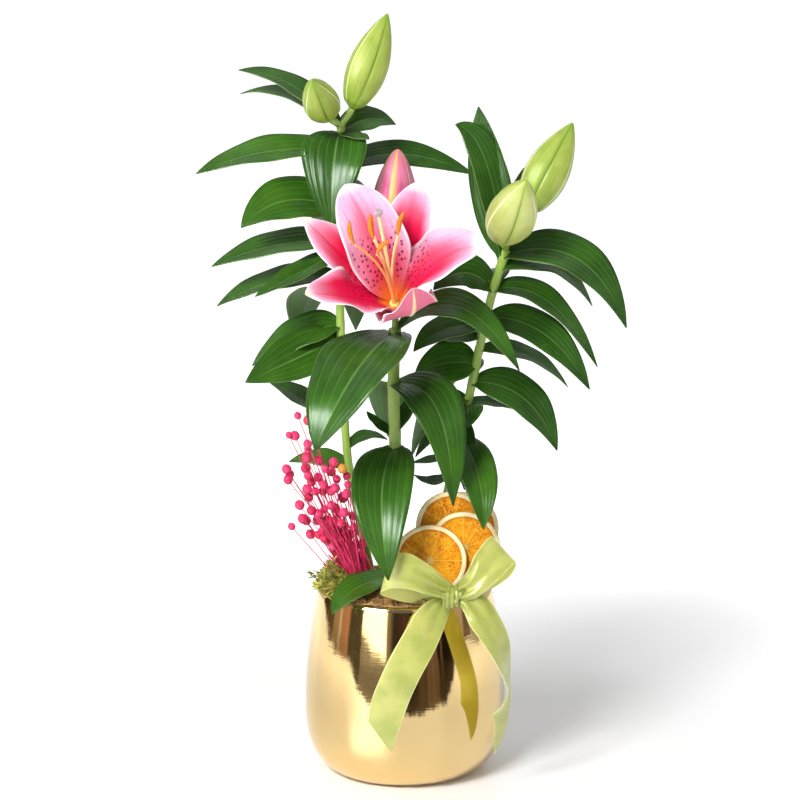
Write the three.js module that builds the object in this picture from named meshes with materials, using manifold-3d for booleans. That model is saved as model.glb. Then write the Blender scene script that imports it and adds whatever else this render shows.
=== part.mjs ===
// A potted lily: three lily plants growing from bulbs in a round pot, with moss over the soil,
// a dyed spray of flax, dried orange slices and a ribbon bow on the rim.
// Millimetres, +Z up. The origin is the middle of the pot's flat underside, and -Y is the front.
import * as THREE from "three";
import { mergeVertices } from "three/addons/utils/BufferGeometryUtils.js";
import Module from "manifold-3d";

const wasm = await Module();
wasm.setup();

// Driving dimensions
const POT_HEIGHT = 134;
const POT_RIM_RADIUS = 62.5;
const POT_BELLY_RADIUS = 72;
const POT_BELLY_HEIGHT = 50;
const POT_FOOT_RADIUS = 46;
const POT_WALL = 3.5;
const POT_FLOOR = 5;
const POT_SIDES = 36;
const SOIL_SIDES = 18; // every other corner of the pot, which the soil touches
const SEAT = 0.3; // what touching pieces keep between them
const FINENESS = 0.08;
const SOIL_TOP = 112;
const LEAF_THICKNESS = 0.8;
const TEPAL_THICKNESS = 1;
const BULB_HEIGHT = 38;
const BULB_RADIUS = 19;
const BULB_BASE = 30;
const SLICE_RADIUS = 25.5;
const SLICE_THICKNESS = 4;
const BERRY_RADIUS = 3;
const RIBBON_WIDTH = 25;
const RIBBON_THICKNESS = 0.8;

const vec = (x, y, z) => new THREE.Vector3(x, y, z);
const radians = THREE.MathUtils.degToRad;
const up = vec(0, 0, 1);

// Solids: a closed geometry becomes a solid once its shared vertices are merged
function solid(geometry) {
  const bare = geometry.index ? geometry.toNonIndexed() : geometry.clone();
  for (const name of Object.keys(bare.attributes)) {
    if (name !== "position") bare.deleteAttribute(name);
  }
  const merged = mergeVertices(bare, 1e-4);
  const kept = [];
  const index = merged.index.array;
  for (let i = 0; i < index.length; i += 3) {
    const [a, b, c] = index.slice(i, i + 3);
    if (a !== b && b !== c && c !== a) kept.push(a, b, c);
  }
  return new wasm.Manifold(
    new wasm.Mesh({
      numProp: 3,
      vertProperties: merged.attributes.position.array,
      triVerts: new Uint32Array(kept),
    }),
  );
}

function geometryOf(body) {
  const mesh = body.getMesh();
  const geometry = new THREE.BufferGeometry();
  geometry.setAttribute("position", new THREE.BufferAttribute(mesh.vertProperties, 3));
  geometry.setIndex(new THREE.BufferAttribute(mesh.triVerts, 1));
  return geometry;
}

// Fused bodies keep no faces finer than FINENESS where they cross
const fuse = (bodies) => bodies.reduce((all, body) => all.add(body)).simplify(FINENESS);
const cut = (body, tools) => tools.reduce((left, tool) => left.subtract(tool), body);

// A closed solid between two grids of points, both split along the same diagonals.
// Rows run along the piece and columns across it, and the top faces side x forward.
function slab(top, bottom) {
  const rows = top.length;
  const columns = top[0].length;
  const position = [...top.flat(), ...bottom.flat()].flatMap((p) => p.toArray());
  const index = [];
  const T = (i, j) => i * columns + j;
  const B = (i, j) => (rows + i) * columns + j;
  const quad = (a, b, c, d) => index.push(a, b, c, a, c, d);
  for (let i = 0; i < rows - 1; i++) {
    for (let j = 0; j < columns - 1; j++) {
      quad(T(i, j), T(i, j + 1), T(i + 1, j + 1), T(i + 1, j));
      index.push(B(i, j), B(i + 1, j + 1), B(i, j + 1));
      index.push(B(i, j), B(i + 1, j), B(i + 1, j + 1));
    }
    const last = columns - 1;
    quad(T(i, 0), T(i + 1, 0), B(i + 1, 0), B(i, 0));
    quad(T(i, last), B(i, last), B(i + 1, last), T(i + 1, last));
  }
  for (let j = 0; j < columns - 1; j++) {
    const end = rows - 1;
    quad(T(0, j), B(0, j), B(0, j + 1), T(0, j + 1));
    quad(T(end, j), T(end, j + 1), B(end, j + 1), B(end, j));
  }
  const geometry = new THREE.BufferGeometry();
  geometry.setAttribute("position", new THREE.Float32BufferAttribute(position, 3));
  geometry.setIndex(index);
  return geometry;
}

// A closed solid of rings of points round an axis, with a point at each end.
function ringed(rings, low, high) {
  const around = rings[0].length;
  const position = [...rings.flat(), low, high].flatMap((p) => p.toArray());
  const lowest = rings.length * around;
  const highest = lowest + 1;
  const index = [];
  const at = (i, j) => i * around + (j % around);
  for (let j = 0; j < around; j++) {
    index.push(lowest, at(0, j + 1), at(0, j));
    index.push(highest, at(rings.length - 1, j), at(rings.length - 1, j + 1));
    for (let i = 0; i < rings.length - 1; i++) {
      index.push(at(i, j), at(i, j + 1), at(i + 1, j + 1));
      index.push(at(i, j), at(i + 1, j + 1), at(i + 1, j));
    }
  }
  const geometry = new THREE.BufferGeometry();
  geometry.setAttribute("position", new THREE.Float32BufferAttribute(position, 3));
  geometry.setIndex(index);
  return geometry;
}

// A round rod of one radius along a curve.
function rod(curve, radius, sides, steps) {
  const section = new THREE.Shape();
  for (let i = 0; i < sides; i++) {
    const angle = (i / sides) * 2 * Math.PI;
    const x = radius * Math.cos(angle);
    const y = radius * Math.sin(angle);
    if (i === 0) section.moveTo(x, y);
    else section.lineTo(x, y);
  }
  return new THREE.ExtrudeGeometry(section, { steps, extrudePath: curve, curveSegments: 1 });
}

// A profile of radius and height pairs turned about the upright axis.
function turned(profile, sides) {
  const points = profile.map(([radius, height]) => new THREE.Vector2(radius, height));
  return new THREE.LatheGeometry(points, sides).rotateX(Math.PI / 2);
}

// A seeded draw between 0 and 1, the same at each run
function draws(seed) {
  let state = seed;
  return () => {
    state = (state * 1664525 + 1013904223) % 4294967296;
    return state / 4294967296;
  };
}

const root = new THREE.Group();
function add(name, body, color, roughness, metalness = 0) {
  const material = new THREE.MeshStandardMaterial({ color, roughness, metalness });
  const mesh = new THREE.Mesh(geometryOf(body), material);
  mesh.name = name;
  root.add(mesh);
}

// Pot: a shell of glazed ceramic with a rounded foot, a low belly and a plain rim
function potRadius(height) {
  if (height < POT_BELLY_HEIGHT) {
    const drop = (POT_BELLY_HEIGHT - height) / POT_BELLY_HEIGHT;
    return POT_FOOT_RADIUS + (POT_BELLY_RADIUS - POT_FOOT_RADIUS) * Math.sqrt(1 - drop ** 2.6);
  }
  const rise = (height - POT_BELLY_HEIGHT) / (POT_HEIGHT - POT_BELLY_HEIGHT);
  return POT_BELLY_RADIUS - (POT_BELLY_RADIUS - POT_RIM_RADIUS) * rise ** 1.7;
}
const outerHeights = [0, 1, 4, 10, 20, 34, POT_BELLY_HEIGHT, 78, 108, POT_HEIGHT];
const innerHeights = [108, 78, POT_BELLY_HEIGHT, 34, 20, 12];
const potProfile = [
  ...outerHeights.map((z) => [potRadius(z), z]),
  [POT_RIM_RADIUS - POT_WALL, POT_HEIGHT],
  ...innerHeights.map((z) => [potRadius(z) - POT_WALL, z]),
  [potRadius(POT_FLOOR) - POT_WALL - 3, POT_FLOOR],
];
const pot = solid(turned([[0, 0], ...potProfile, [0, POT_FLOOR]], POT_SIDES));
add("pot", pot, 0xd9b56a, 0.12, 1);

// Stems: points up the middle of each stem, from the bulb to the topmost flower stalk
const STEM_RADIUS = { left: 2.9, middle: 4.1, right: 3.1 };
const STEM_POINTS = {
  left: [
    [-25, 13, 68], [-25, 13, 80], [-22, 9, 122], [-40, 10, 218],
    [-45, 9, 300], [-46, 8, 390], [-44.5, 8, 462],
  ],
  middle: [[1, -28, 68], [1, -28, 80], [-4, -22, 130], [-7, -21, 244], [-8, -20, 285], [-7, -20, 324]],
  right: [
    [25, 16, 68], [25, 16, 80], [18, 12, 127], [34, 12, 216],
    [46, 10, 271], [60, 8, 338], [71, 6, 376],
  ],
};
const stemCurves = {};
for (const [name, points] of Object.entries(STEM_POINTS)) {
  stemCurves[name] = new THREE.CatmullRomCurve3(points.map((p) => vec(...p)));
}

// The point of a stem at one height, found by halving
function stemPoint(curve, height) {
  let low = 0;
  let high = 1;
  for (let i = 0; i < 30; i++) {
    const middle = (low + high) / 2;
    if (curve.getPoint(middle).z < height) low = middle;
    else high = middle;
  }
  return curve.getPoint(low);
}

// A lily leaf: a broad pointed blade on a bent midrib, folded a little along it.
// The midrib passes the point (midReach, midRise) and ends at (tipReach, tipRise),
// both from the stem and in the upright plane of its heading. Roll turns the blade about it, twist
// adds to the roll towards the tip, and sway bows the midrib sideways, to the right of its heading.
const LEAF_ROWS = { long: [0, 0.1, 0.28, 0.52, 0.78, 1], short: [0, 0.13, 0.4, 0.74, 1] };
const LEAF_LONG = 60; // a tip that reaches further than this has a long leaf's rows
const LEAF_FOLD = 0.16; // rise of an edge as a share of the half width
const LEAF_WIDEST = 0.4; // share of the length from the stem to the widest place
const leafSwell = (t) => t ** 0.6 * (1 - t) ** 0.9;
const leafShape = (t) => Math.max(t < 0.5 ? 0.25 : 0.05, leafSwell(t) / leafSwell(LEAF_WIDEST));

function leaf(curve, [height, heading, midReach, midRise, tipReach, tipRise, width, roll, ...turns]) {
  const [twist = 0, sway = 0] = turns;
  const start = stemPoint(curve, height);
  const out = vec(Math.cos(radians(heading)), Math.sin(radians(heading)), 0);
  const along = (reach, rise) => start.clone().addScaledVector(out, reach).addScaledVector(up, rise);
  const knee = along(2 * midReach - tipReach / 2, 2 * midRise - tipRise / 2);
  const midrib = new THREE.QuadraticBezierCurve3(start, knee, along(tipReach, tipRise));
  const level = out.clone().cross(up);
  const top = [];
  const bottom = [];
  for (const t of tipReach > LEAF_LONG ? LEAF_ROWS.long : LEAF_ROWS.short) {
    const point = midrib.getPoint(t).addScaledVector(level, sway * 4 * t * (1 - t));
    const face = level.clone().cross(midrib.getTangent(t));
    const turn = radians(roll + twist * t);
    const side = level.clone().multiplyScalar(Math.cos(turn)).addScaledVector(face, Math.sin(turn));
    face.multiplyScalar(Math.cos(turn)).addScaledVector(level, -Math.sin(turn));
    const half = (width / 2) * leafShape(t);
    const row = [-1, 0, 1].map((across) =>
      point.clone().addScaledVector(side, across * half)
        .addScaledVector(face, Math.abs(across) * half * LEAF_FOLD));
    top.push(row.map((p) => p.clone().addScaledVector(face, LEAF_THICKNESS / 2)));
    bottom.push(row.map((p) => p.clone().addScaledVector(face, -LEAF_THICKNESS / 2)));
  }
  return solid(slab(top, bottom));
}

// Leaves: height on the stem, heading, reach and rise halfway, reach and rise at the tip, width,
// roll and, for a few, twist and sway
const LEAVES = {
  left: [
    [462, 165, 37, 29, 75, 38, 22, 25],
    [461, 150, 42, 22, 84, 21, 18, 20],
    [458, 25, 21, 9, 42, 4, 26, -35],
    [458, -50, 17, -2, 31, -3, 14, -10],
    [458, -104, 19, -18, 27, -66, 46, 0],
    [446, 186, 53, -1, 101, -16, 32, 28],
    [430, 16, 45, 11, 98, -4, 24, -15, -60, -13],
    [402, 46, 20, 16, 38, 3, 22, -20],
    [440, 92, 36, 6, 66, -12, 34, 0],
    [404, 200, 39, 8, 72, -10, 38, 45],
    [395, 102, 34, 4, 60, -16, 34, 0],
    [382, 182, 46, -3, 90, -18, 30, 28],
    [374, 215, 34, -12, 70, -26, 24, 14],
    [357, 174, 49, -5, 88, -23, 30, 25],
    [345, 125, 40, -8, 52, -45, 34, 0],
    [352, 75, 30, -4, 40, -40, 32, 0],
    [322, 172, 32, -9, 64, -31, 36, 35],
    [313, 205, 33, -12, 73, -27, 40, 45],
    [250, 165, 34, 18, 62, 33, 28, 10],
    [232, 14, 14, 9, 30, 5, 13, -20],
    [218, 166, 22, 6, 45, 2, 20, 25],
  ],
  middle: [
    [321, -124, 66, -17, 95, -68, 64, 0, 0, -12],
    [322, -22, 47, 20, 92, -22, 30, -30],
    [285, -46, 43, -12, 59, -78, 38, -20],
    [285, 95, 22, -12, 30, -46, 34, 0],
    [240, -94, 44, -24, 64, -80, 43, 0, 0, 6],
    [247, 150, 14, 8, 23, 16, 14, 0],
    [250, 40, 12, 15, 23, 28, 16, 0],
    [146, 222, 38, -1, 62, -16, 25, 15],
  ],
  right: [
    [370, 140, 13, 56, 23, 105, 30, 70],
    [372, 172, 14, 67, 35, 91, 28, 50],
    [368, 66, 30, 30, 40, 62, 28, 0],
    [372, -12, 52, -1, 87, -49, 36, -38],
    [363, 15, 37, 2, 69, -30, 30, -33],
    [347, -5, 38, -7, 74, -54, 26, -30],
    [327, -15, 41, -9, 75, -48, 30, -40],
    [352, 98, 30, 6, 54, -12, 30, 0],
    [318, 92, 32, 4, 58, -16, 30, 0],
    [304, 10, 36, -5, 65, -29, 22, -25],
    [288, 108, 30, 0, 52, -20, 28, 0],
    [281, -10, 37, -11, 61, -48, 34, -38],
    [347, 190, 21, 13, 43, 1, 30, 45],
    [322, 195, 30, -2, 52, -17, 26, 30],
    [313, 170, 17, -1, 34, -1, 16, 20],
    [293, 188, 21, 2, 44, -6, 34, 50],
    [268, 190, 24, -6, 41, -40, 26, 20],
    [266, 10, 18, -1, 33, -6, 14, -20],
    [264, -90, 20, -1, 28, -11, 22, 0],
    [253, -90, 19, -18, 25, -46, 16, 0],
    [242, -77, 50, -18, 66, -54, 28, 0],
    [253, 190, 17, -5, 35, -26, 18, 25],
    [227, 185, 17, -3, 31, -5, 10, 20],
    [213, 185, 14, -5, 27, 0, 12, 20],
  ],
};

// Flower buds and the bloom: where each one's base sits and where it points
const BUDS = {
  bud_left_tall: { stem: "left", base: [-37, 6, 475], tip: [-12, 12, 540], radius: 14, color: 0xbcd650 },
  bud_left_short: { stem: "left", base: [-54, -2, 470], tip: [-63, -46, 497], radius: 12.5, color: 0xaecb55 },
  bud_middle_pink: {
    stem: "middle", base: [-10, 15, 365], tip: [-5, 12, 446], radius: 16, fullness: 0.6, color: 0xd8588f,
  },
  bud_right_front: { stem: "right", base: [67, -5, 385], tip: [82, -50, 430], radius: 17, color: 0xdcea86 },
  bud_right_tall: { stem: "right", base: [86, 12, 402], tip: [118, 20, 464], radius: 15.5, color: 0xb4d258 },
};
const PEDICEL_RADIUS = 2.3;
const BUD_RINGS = [0, 0.08, 0.22, 0.4, 0.58, 0.76, 0.91];
const BUD_SIDES = 9;
const BUD_LOBES = 0.05; // how far the three outer tepals bulge, as a share of the radius

// Unit vectors across an axis, so that the first, the second and the axis are right-handed
function acrossAxis(axis) {
  const aside = Math.abs(axis.z) < 0.9 ? up : vec(1, 0, 0);
  const first = aside.clone().cross(axis).normalize();
  return [first, axis.clone().cross(first).normalize()];
}

// Rings of points about an axis: each is [distance along, radius], with lobes of the section
function rings(start, axis, list, sides, lobes = 0) {
  const [first, second] = acrossAxis(axis);
  return list.map(([along, radius]) => Array.from({ length: sides }, (_, j) => {
    const angle = (j / sides) * 2 * Math.PI;
    const r = radius * (1 + lobes * Math.cos(3 * angle));
    return start.clone().addScaledVector(axis, along)
      .addScaledVector(first, r * Math.cos(angle))
      .addScaledVector(second, r * Math.sin(angle));
  }));
}

function bud({ base, tip, radius, fullness = 0.8 }) {
  const start = vec(...base);
  const end = vec(...tip);
  const length = start.distanceTo(end);
  const axis = end.clone().sub(start).normalize();
  const share = (t) => Math.sin(Math.PI * (0.06 + 0.94 * t) ** 0.85) ** fullness;
  const swell = (t) => Math.max(PEDICEL_RADIUS + 0.5, radius * share(t));
  const list = BUD_RINGS.map((t) => [t * length, swell(t)]);
  return solid(ringed(rings(start, axis, list, BUD_SIDES, BUD_LOBES), start, end));
}

// The stalk from a stem's top to a flower's base, which it meets squarely
function pedicel(stem, base, axis, fromEnd = 0.985) {
  const start = stem.getPoint(fromEnd);
  const reach = start.distanceTo(base);
  const curve = new THREE.CubicBezierCurve3(
    start,
    start.clone().addScaledVector(stem.getTangent(fromEnd), reach * 0.4),
    base.clone().addScaledVector(axis, -reach * 0.45),
    base.clone().addScaledVector(axis, -SEAT),
  );
  return solid(rod(curve, PEDICEL_RADIUS, 6, 4));
}

const BLOOM_BASE = [-7, -25, 340];
const BLOOM_AXIS = vec(-0.1, -0.65, 0.75).normalize();
const stalks = { left: [], middle: [], right: [] };
for (const [name, spec] of Object.entries(BUDS)) {
  const base = vec(...spec.base);
  const axis = vec(...spec.tip).sub(base).normalize();
  stalks[spec.stem].push(pedicel(stemCurves[spec.stem], base, axis));
  add(name, bud(spec), spec.color, 0.4);
}
const bloomBase = vec(...BLOOM_BASE);
stalks.middle.push(pedicel(stemCurves.middle, bloomBase, BLOOM_AXIS));

const SIDES = ["left", "middle", "right"];
const stemRods = {};
for (const side of SIDES) {
  stemRods[side] = (extra) => solid(rod(stemCurves[side], STEM_RADIUS[side] + extra, 7, 14));
  const leaves = LEAVES[side].map((row) => leaf(stemCurves[side], row));
  add("stem_" + side, fuse([stemRods[side](0), ...leaves, ...stalks[side]]), 0x2f6b2c, 0.45);
}

// Bloom: six tepals from one tube, each to its own tip, given from the bloom's base. Rise is how far
// it climbs in the tube, arch and reach say where it bends over, past its tip's height or under it,
// and point is how sharp its tip is
const TEPALS = [
  { tip: [-33, -2, 85], width: 48, rise: 26, arch: 4, reach: 0.45, point: 0.6 },
  { tip: [13, 18, 85], width: 36, rise: 10, arch: -8, reach: 0.7, point: 0.75 },
  { tip: [60, -47, 48], width: 50, rise: 20, arch: 2, reach: 0.55, point: 0.65 },
  { tip: [14, -74, 22], width: 44, rise: 8, arch: -48, reach: 1, point: 0.6 },
  { tip: [-60, -58, 17], width: 44, rise: 12, arch: -14, reach: 0.62, point: 0.85 },
  { tip: [-63, -10, 63], width: 36, rise: 10, arch: -18, reach: 0.68, point: 0.9 },
];
const TEPAL_ROWS = [0, 0.16, 0.34, 0.52, 0.7, 0.85, 0.95, 1];
const TEPAL_COLUMNS = [-1, -0.5, 0, 0.5, 1];
const TEPAL_CUP = 0.28;
const THROAT_LENGTH = 8;
const tepalShape = (t, point) =>
  Math.max(0.16, t < 0.5 ? Math.sin(Math.PI * t) ** 0.85 : (1 - (2 * t - 1) ** 2) ** point);

function tepal({ tip, width, rise, arch, reach, point: sharpness }) {
  const offset = vec(...tip);
  const height = offset.dot(BLOOM_AXIS);
  const radial = offset.clone().addScaledVector(BLOOM_AXIS, -height);
  const spread = radial.length();
  radial.normalize();
  const place = (along, out) =>
    bloomBase.clone().addScaledVector(BLOOM_AXIS, along).addScaledVector(radial, out);
  const midrib = new THREE.CubicBezierCurve3(
    place(3, 3.6),
    place(rise, 9),
    place(height + arch, spread * reach),
    place(height, spread),
  );
  const side = radial.clone().cross(BLOOM_AXIS).normalize();
  const top = [];
  const bottom = [];
  for (const t of TEPAL_ROWS) {
    const point = midrib.getPoint(t);
    const face = side.clone().cross(midrib.getTangent(t));
    const half = (width / 2) * tepalShape(t, sharpness);
    const row = TEPAL_COLUMNS.map((across) =>
      point.clone().addScaledVector(side, across * half)
        .addScaledVector(face, across ** 2 * half * TEPAL_CUP));
    top.push(row.map((p) => p.clone().addScaledVector(face, TEPAL_THICKNESS / 2)));
    bottom.push(row.map((p) => p.clone().addScaledVector(face, -TEPAL_THICKNESS / 2)));
  }
  return solid(slab(top, bottom));
}
const throat = solid(ringed(
  rings(bloomBase, BLOOM_AXIS, [[0, 3], [3, 4.4], [THROAT_LENGTH, 5.2]], 10),
  bloomBase, bloomBase.clone().addScaledVector(BLOOM_AXIS, THROAT_LENGTH),
));
const tepalBodies = fuse([throat, ...TEPALS.map(tepal)]).decompose();
// the largest body, so that slivers left shut in between crossing tepals are filled
const tepals = tepalBodies.reduce((most, body) => (body.volume() > most.volume() ? body : most));
add("bloom_tepals", tepals, 0xe0457a, 0.5);

// Stamens and style: thin rods from a small disc in the throat. Each row is a filament's end, given
// from the bloom's base, and the run of the anther on it
const STAMENS = [
  { end: [-27, -47, 49], anther: [-3, -3, 16] },
  { end: [-14, -45, 52], anther: [-2, -2, 17] },
  { end: [2, -47, 55], anther: [4, -3, 16] },
  { end: [-12, -59, 44], anther: [8, -2, 9] },
  { end: [-14, -35, 53], anther: [-1, -1, 13] },
  { end: [3, -37, 56], anther: [3, -2, 13] },
];
const STIGMA = [-11, -49, 70];
const FILAMENT_RADIUS = 1;
const ANTHER_RADIUS = 1.7;
const discFoot = bloomBase.clone().addScaledVector(BLOOM_AXIS, THROAT_LENGTH + SEAT);
const disc = solid(ringed(
  rings(discFoot, BLOOM_AXIS, [[0, 3], [2, 2.8]], 10),
  discFoot, discFoot.clone().addScaledVector(BLOOM_AXIS, 2),
));
function filament(tip) {
  const end = bloomBase.clone().add(vec(...tip));
  const start = discFoot.clone().addScaledVector(BLOOM_AXIS, 1);
  const knee = start.clone().addScaledVector(BLOOM_AXIS, start.distanceTo(end) * 0.55);
  return new THREE.QuadraticBezierCurve3(start, knee, end);
}
const filaments = STAMENS.map((row) => filament(row.end));
const style = filament(STIGMA);
const stigmaAxis = style.getTangent(1);
const stigma = solid(ringed(
  rings(style.getPoint(1), stigmaAxis, [[-1.5, 1.2], [0, 2.6], [2.2, 2.9]], 9, 0.12),
  style.getPoint(1).addScaledVector(stigmaAxis, -2), style.getPoint(1).addScaledVector(stigmaAxis, 3),
));
add("bloom_pistil_filaments", fuse([
  disc,
  stigma,
  solid(rod(style, 1.3, 5, 6)),
  ...filaments.map((curve) => solid(rod(curve, FILAMENT_RADIUS, 4, 6))),
]), 0xd9d98a, 0.5);
filaments.forEach((curve, i) => {
  const anther = vec(...STAMENS[i].anther);
  const length = anther.length();
  anther.normalize();
  const low = curve.getPoint(1).addScaledVector(curve.getTangent(1), SEAT).addScaledVector(anther, SEAT);
  const list = [[0.8, 1.1], [length * 0.45, ANTHER_RADIUS], [length - 1, 1.1]];
  add("anther_" + (i + 1), solid(ringed(
    rings(low, anther, list, 5), low, low.clone().addScaledVector(anther, length),
  )), 0xd9641e, 0.8);
});

// Bulbs: scaly bulbs under the stems, hidden in the soil
const BULB_LOBES = -0.04;
const BULB_PROFILE = [[0, 7], [5, 15], [13, BULB_RADIUS], [23, 17], [31, 10], [BULB_HEIGHT, 5]];
function bulb(side, extra) {
  const top = stemCurves[side].getPoint(0);
  const foot = vec(top.x, top.y, top.z - SEAT - BULB_HEIGHT - extra);
  const list = BULB_PROFILE.map(([along, radius], i) =>
    [along + (i === BULB_PROFILE.length - 1 ? 2 * extra : 0), radius + extra]);
  const head = foot.clone().setZ(foot.z + list.at(-1)[0]);
  return solid(ringed(rings(foot, up, list, 10, BULB_LOBES), foot, head));
}
for (const side of SIDES) add("bulb_" + side, bulb(side, 0), 0xe8dcc0, 0.7);

// Flax: a dyed bunch of thin stalks that leave a slim core, each with side stalks and round heads
const FLAX_FOOT = vec(-20, -14, 116);
const FLAX_LEAN = vec(-0.44, -0.1, 1).normalize();
const FLAX_STALKS = 10;
const FLAX_HEADS = 4;
const FLAX_REACH = 124;
const FLAX_SPREAD = 12;
const FLAX_CORE = 44;
const BERRY_SIDES = 5;

// One closed surface from a side stalk's root to the far side of its round head
function seedHead(start, end) {
  const length = start.distanceTo(end);
  const axis = end.clone().sub(start).normalize();
  const list = [
    [0, 0.6],
    [length - BERRY_RADIUS, 0.6],
    [length - BERRY_RADIUS * 0.4, BERRY_RADIUS],
    [length + BERRY_RADIUS * 0.6, BERRY_RADIUS * 0.8],
  ];
  const pole = end.clone().addScaledVector(axis, BERRY_RADIUS);
  return solid(ringed(rings(start, axis, list, BERRY_SIDES), start, pole));
}
function flax(draw) {
  const [first, second] = acrossAxis(FLAX_LEAN);
  const direction = (tilt, turn) => FLAX_LEAN.clone().multiplyScalar(Math.cos(tilt))
    .addScaledVector(first, Math.sin(tilt) * Math.cos(turn))
    .addScaledVector(second, Math.sin(tilt) * Math.sin(turn));
  const coreTop = FLAX_FOOT.clone().addScaledVector(FLAX_LEAN, FLAX_CORE + 3);
  const core = rings(FLAX_FOOT, FLAX_LEAN, [[0, 3.2], [FLAX_CORE - 12, 5], [FLAX_CORE, 4]], 8);
  const pieces = [solid(ringed(core, FLAX_FOOT, coreTop))];
  const golden = radians(137.5);
  for (let i = 0; i < FLAX_STALKS; i++) {
    const tilt = radians(FLAX_SPREAD) * Math.sqrt((i + 0.2) / FLAX_STALKS);
    const turn = i * golden;
    const root = FLAX_FOOT.clone().addScaledVector(FLAX_LEAN, FLAX_CORE - 14 + 10 * draw())
      .addScaledVector(direction(Math.PI / 2, turn), 3);
    const reach = FLAX_REACH * (0.46 + 0.54 * draw() ** 1.3);
    const end = FLAX_FOOT.clone().addScaledVector(direction(tilt, turn), reach);
    pieces.push(seedHead(root, end));
    for (let k = 1; k < FLAX_HEADS + (i % 2); k++) {
      const fork = root.clone().lerp(end, 0.16 + 0.17 * k + 0.08 * draw());
      const out = direction(tilt + radians(26 + 14 * draw()), turn + (k % 2 ? 0.8 : -0.8) * (0.5 + draw()));
      pieces.push(seedHead(fork, fork.clone().addScaledVector(out, 13 + 14 * draw())));
    }
  }
  return fuse(pieces);
}
add("flax_bunch", flax(draws(7)), 0xc7305f, 0.6);

// Orange slices: dried rounds stood on edge, one behind the other, facing the front
const SLICE_FACE = vec(0.03, -0.95, 0.3).normalize();
const SLICE_SEGMENTS = 10;
const SLICE_RIND = 3.4;
const SLICE_RELIEF = 0.7;
const SLICES = {
  orange_slice_1: [18.5, 163],
  orange_slice_2: [42, 169],
  orange_slice_3: [33, 181],
  orange_slice_4: [43, 182],
};
function slice(centre, extra) {
  const [first, second] = acrossAxis(SLICE_FACE);
  const columns = SLICE_SEGMENTS * 2;
  const half = SLICE_THICKNESS / 2 + extra;
  const ring = (radius, level) => Array.from({ length: columns }, (_, j) => {
    const angle = (j / columns) * 2 * Math.PI;
    return centre.clone().addScaledVector(first, radius * Math.cos(angle))
      .addScaledVector(second, radius * Math.sin(angle))
      .addScaledVector(SLICE_FACE, level(j));
  });
  const rim = SLICE_RADIUS + extra;
  const flat = (level) => () => level;
  const membrane = (level) => (j) => (j % 2 === 0 ? half : level);
  const list = extra
    ? [ring(rim, flat(-half)), ring(rim, flat(half))]
    : [
      ring(rim - 1, flat(-half)),
      ring(rim, flat(0)),
      ring(rim - 1, flat(half)),
      ring(rim - SLICE_RIND, flat(half)),
      ring(rim - SLICE_RIND - 1, membrane(half - SLICE_RELIEF)),
      ring(3.5, membrane(half - SLICE_RELIEF)),
    ];
  const back = centre.clone().addScaledVector(SLICE_FACE, -half);
  const front = centre.clone().addScaledVector(SLICE_FACE, half);
  return solid(ringed(list, back, front));
}
const SLICE_FRONT_DEPTH = -45;
const sliceCentres = Object.values(SLICES).map(([x, z], i) => {
  const [firstX, firstZ] = SLICES.orange_slice_1;
  const behind = (SLICE_THICKNESS + SEAT) * i;
  const slope = SLICE_FACE.x * (x - firstX) + SLICE_FACE.z * (z - firstZ);
  return vec(x, SLICE_FRONT_DEPTH - (behind + slope) / SLICE_FACE.y, z);
});
Object.keys(SLICES).forEach((name, i) => add(name, slice(sliceCentres[i], 0), 0xdf8a2c, 0.6));

// Soil: fills the pot to under the moss, with a cavity for each bulb and a hole for each stem
const soilRadius = (z) => potRadius(z) - POT_WALL - SEAT;
const soilHeights = [12, 20, 34, POT_BELLY_HEIGHT, 78, 108];
const soilProfile = [
  [0, POT_FLOOR + SEAT],
  [potRadius(POT_FLOOR) - POT_WALL - 5, POT_FLOOR + SEAT],
  ...soilHeights.map((z) => [soilRadius(z), z]),
  [soilRadius(SOIL_TOP), SOIL_TOP],
  [0, SOIL_TOP],
];
const STEM_HOLE = 0.4;
const soilCutters = SIDES.flatMap((side) => [stemRods[side](STEM_HOLE), bulb(side, STEM_HOLE)]);
add("soil", cut(solid(turned(soilProfile, SOIL_SIDES)), soilCutters), 0x3a2a1e, 0.95);

// Moss: a lumpy mat over the soil, highest in a clump at the left, with a hole for all that stands in it
const MOSS_LUMPS = [
  { x: -50, y: -7, height: 25, width: 14 },
  { x: -27, y: -46, height: 8, width: 11 },
  { x: 31, y: -34, height: 20, width: 15 },
  { x: 9, y: -47, height: 7, width: 12 },
  { x: 42, y: 12, height: 9, width: 16 },
  { x: 0, y: 36, height: 8, width: 20 },
];
const MOSS_LEVEL = 126;
const MOSS_COLUMNS = SOIL_SIDES;
const MOSS_RADIUS = POT_RIM_RADIUS - POT_WALL - SEAT;
const MOSS_RINGS = [1, 0.88, 0.7, 0.48, 0.24];
function mossHeight(x, y) {
  const ripple = 1.3 * Math.sin(x * 0.34 + 1) * Math.cos(y * 0.29) + 0.8 * Math.sin(x * 0.8 - y * 0.6);
  const lumps = MOSS_LUMPS.map((lump) => {
    const away = (x - lump.x) ** 2 + (y - lump.y) ** 2;
    return lump.height * Math.exp(-away / (2 * lump.width ** 2));
  });
  return MOSS_LEVEL + ripple + lumps.reduce((sum, height) => sum + height);
}
const mossFoot = SOIL_TOP + SEAT;
const mossRing = (radius, height) => Array.from({ length: MOSS_COLUMNS }, (_, j) => {
  const angle = (j / MOSS_COLUMNS) * 2 * Math.PI;
  const x = radius * Math.cos(angle);
  const y = radius * Math.sin(angle);
  return vec(x, y, height(x, y));
});
const mossRings = [
  mossRing(MOSS_RADIUS, () => mossFoot),
  ...MOSS_RINGS.map((share) => mossRing(share * MOSS_RADIUS, mossHeight)),
];
const mossMat = solid(ringed(mossRings, vec(0, 0, mossFoot), vec(0, 0, mossHeight(0, 0))));

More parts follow.
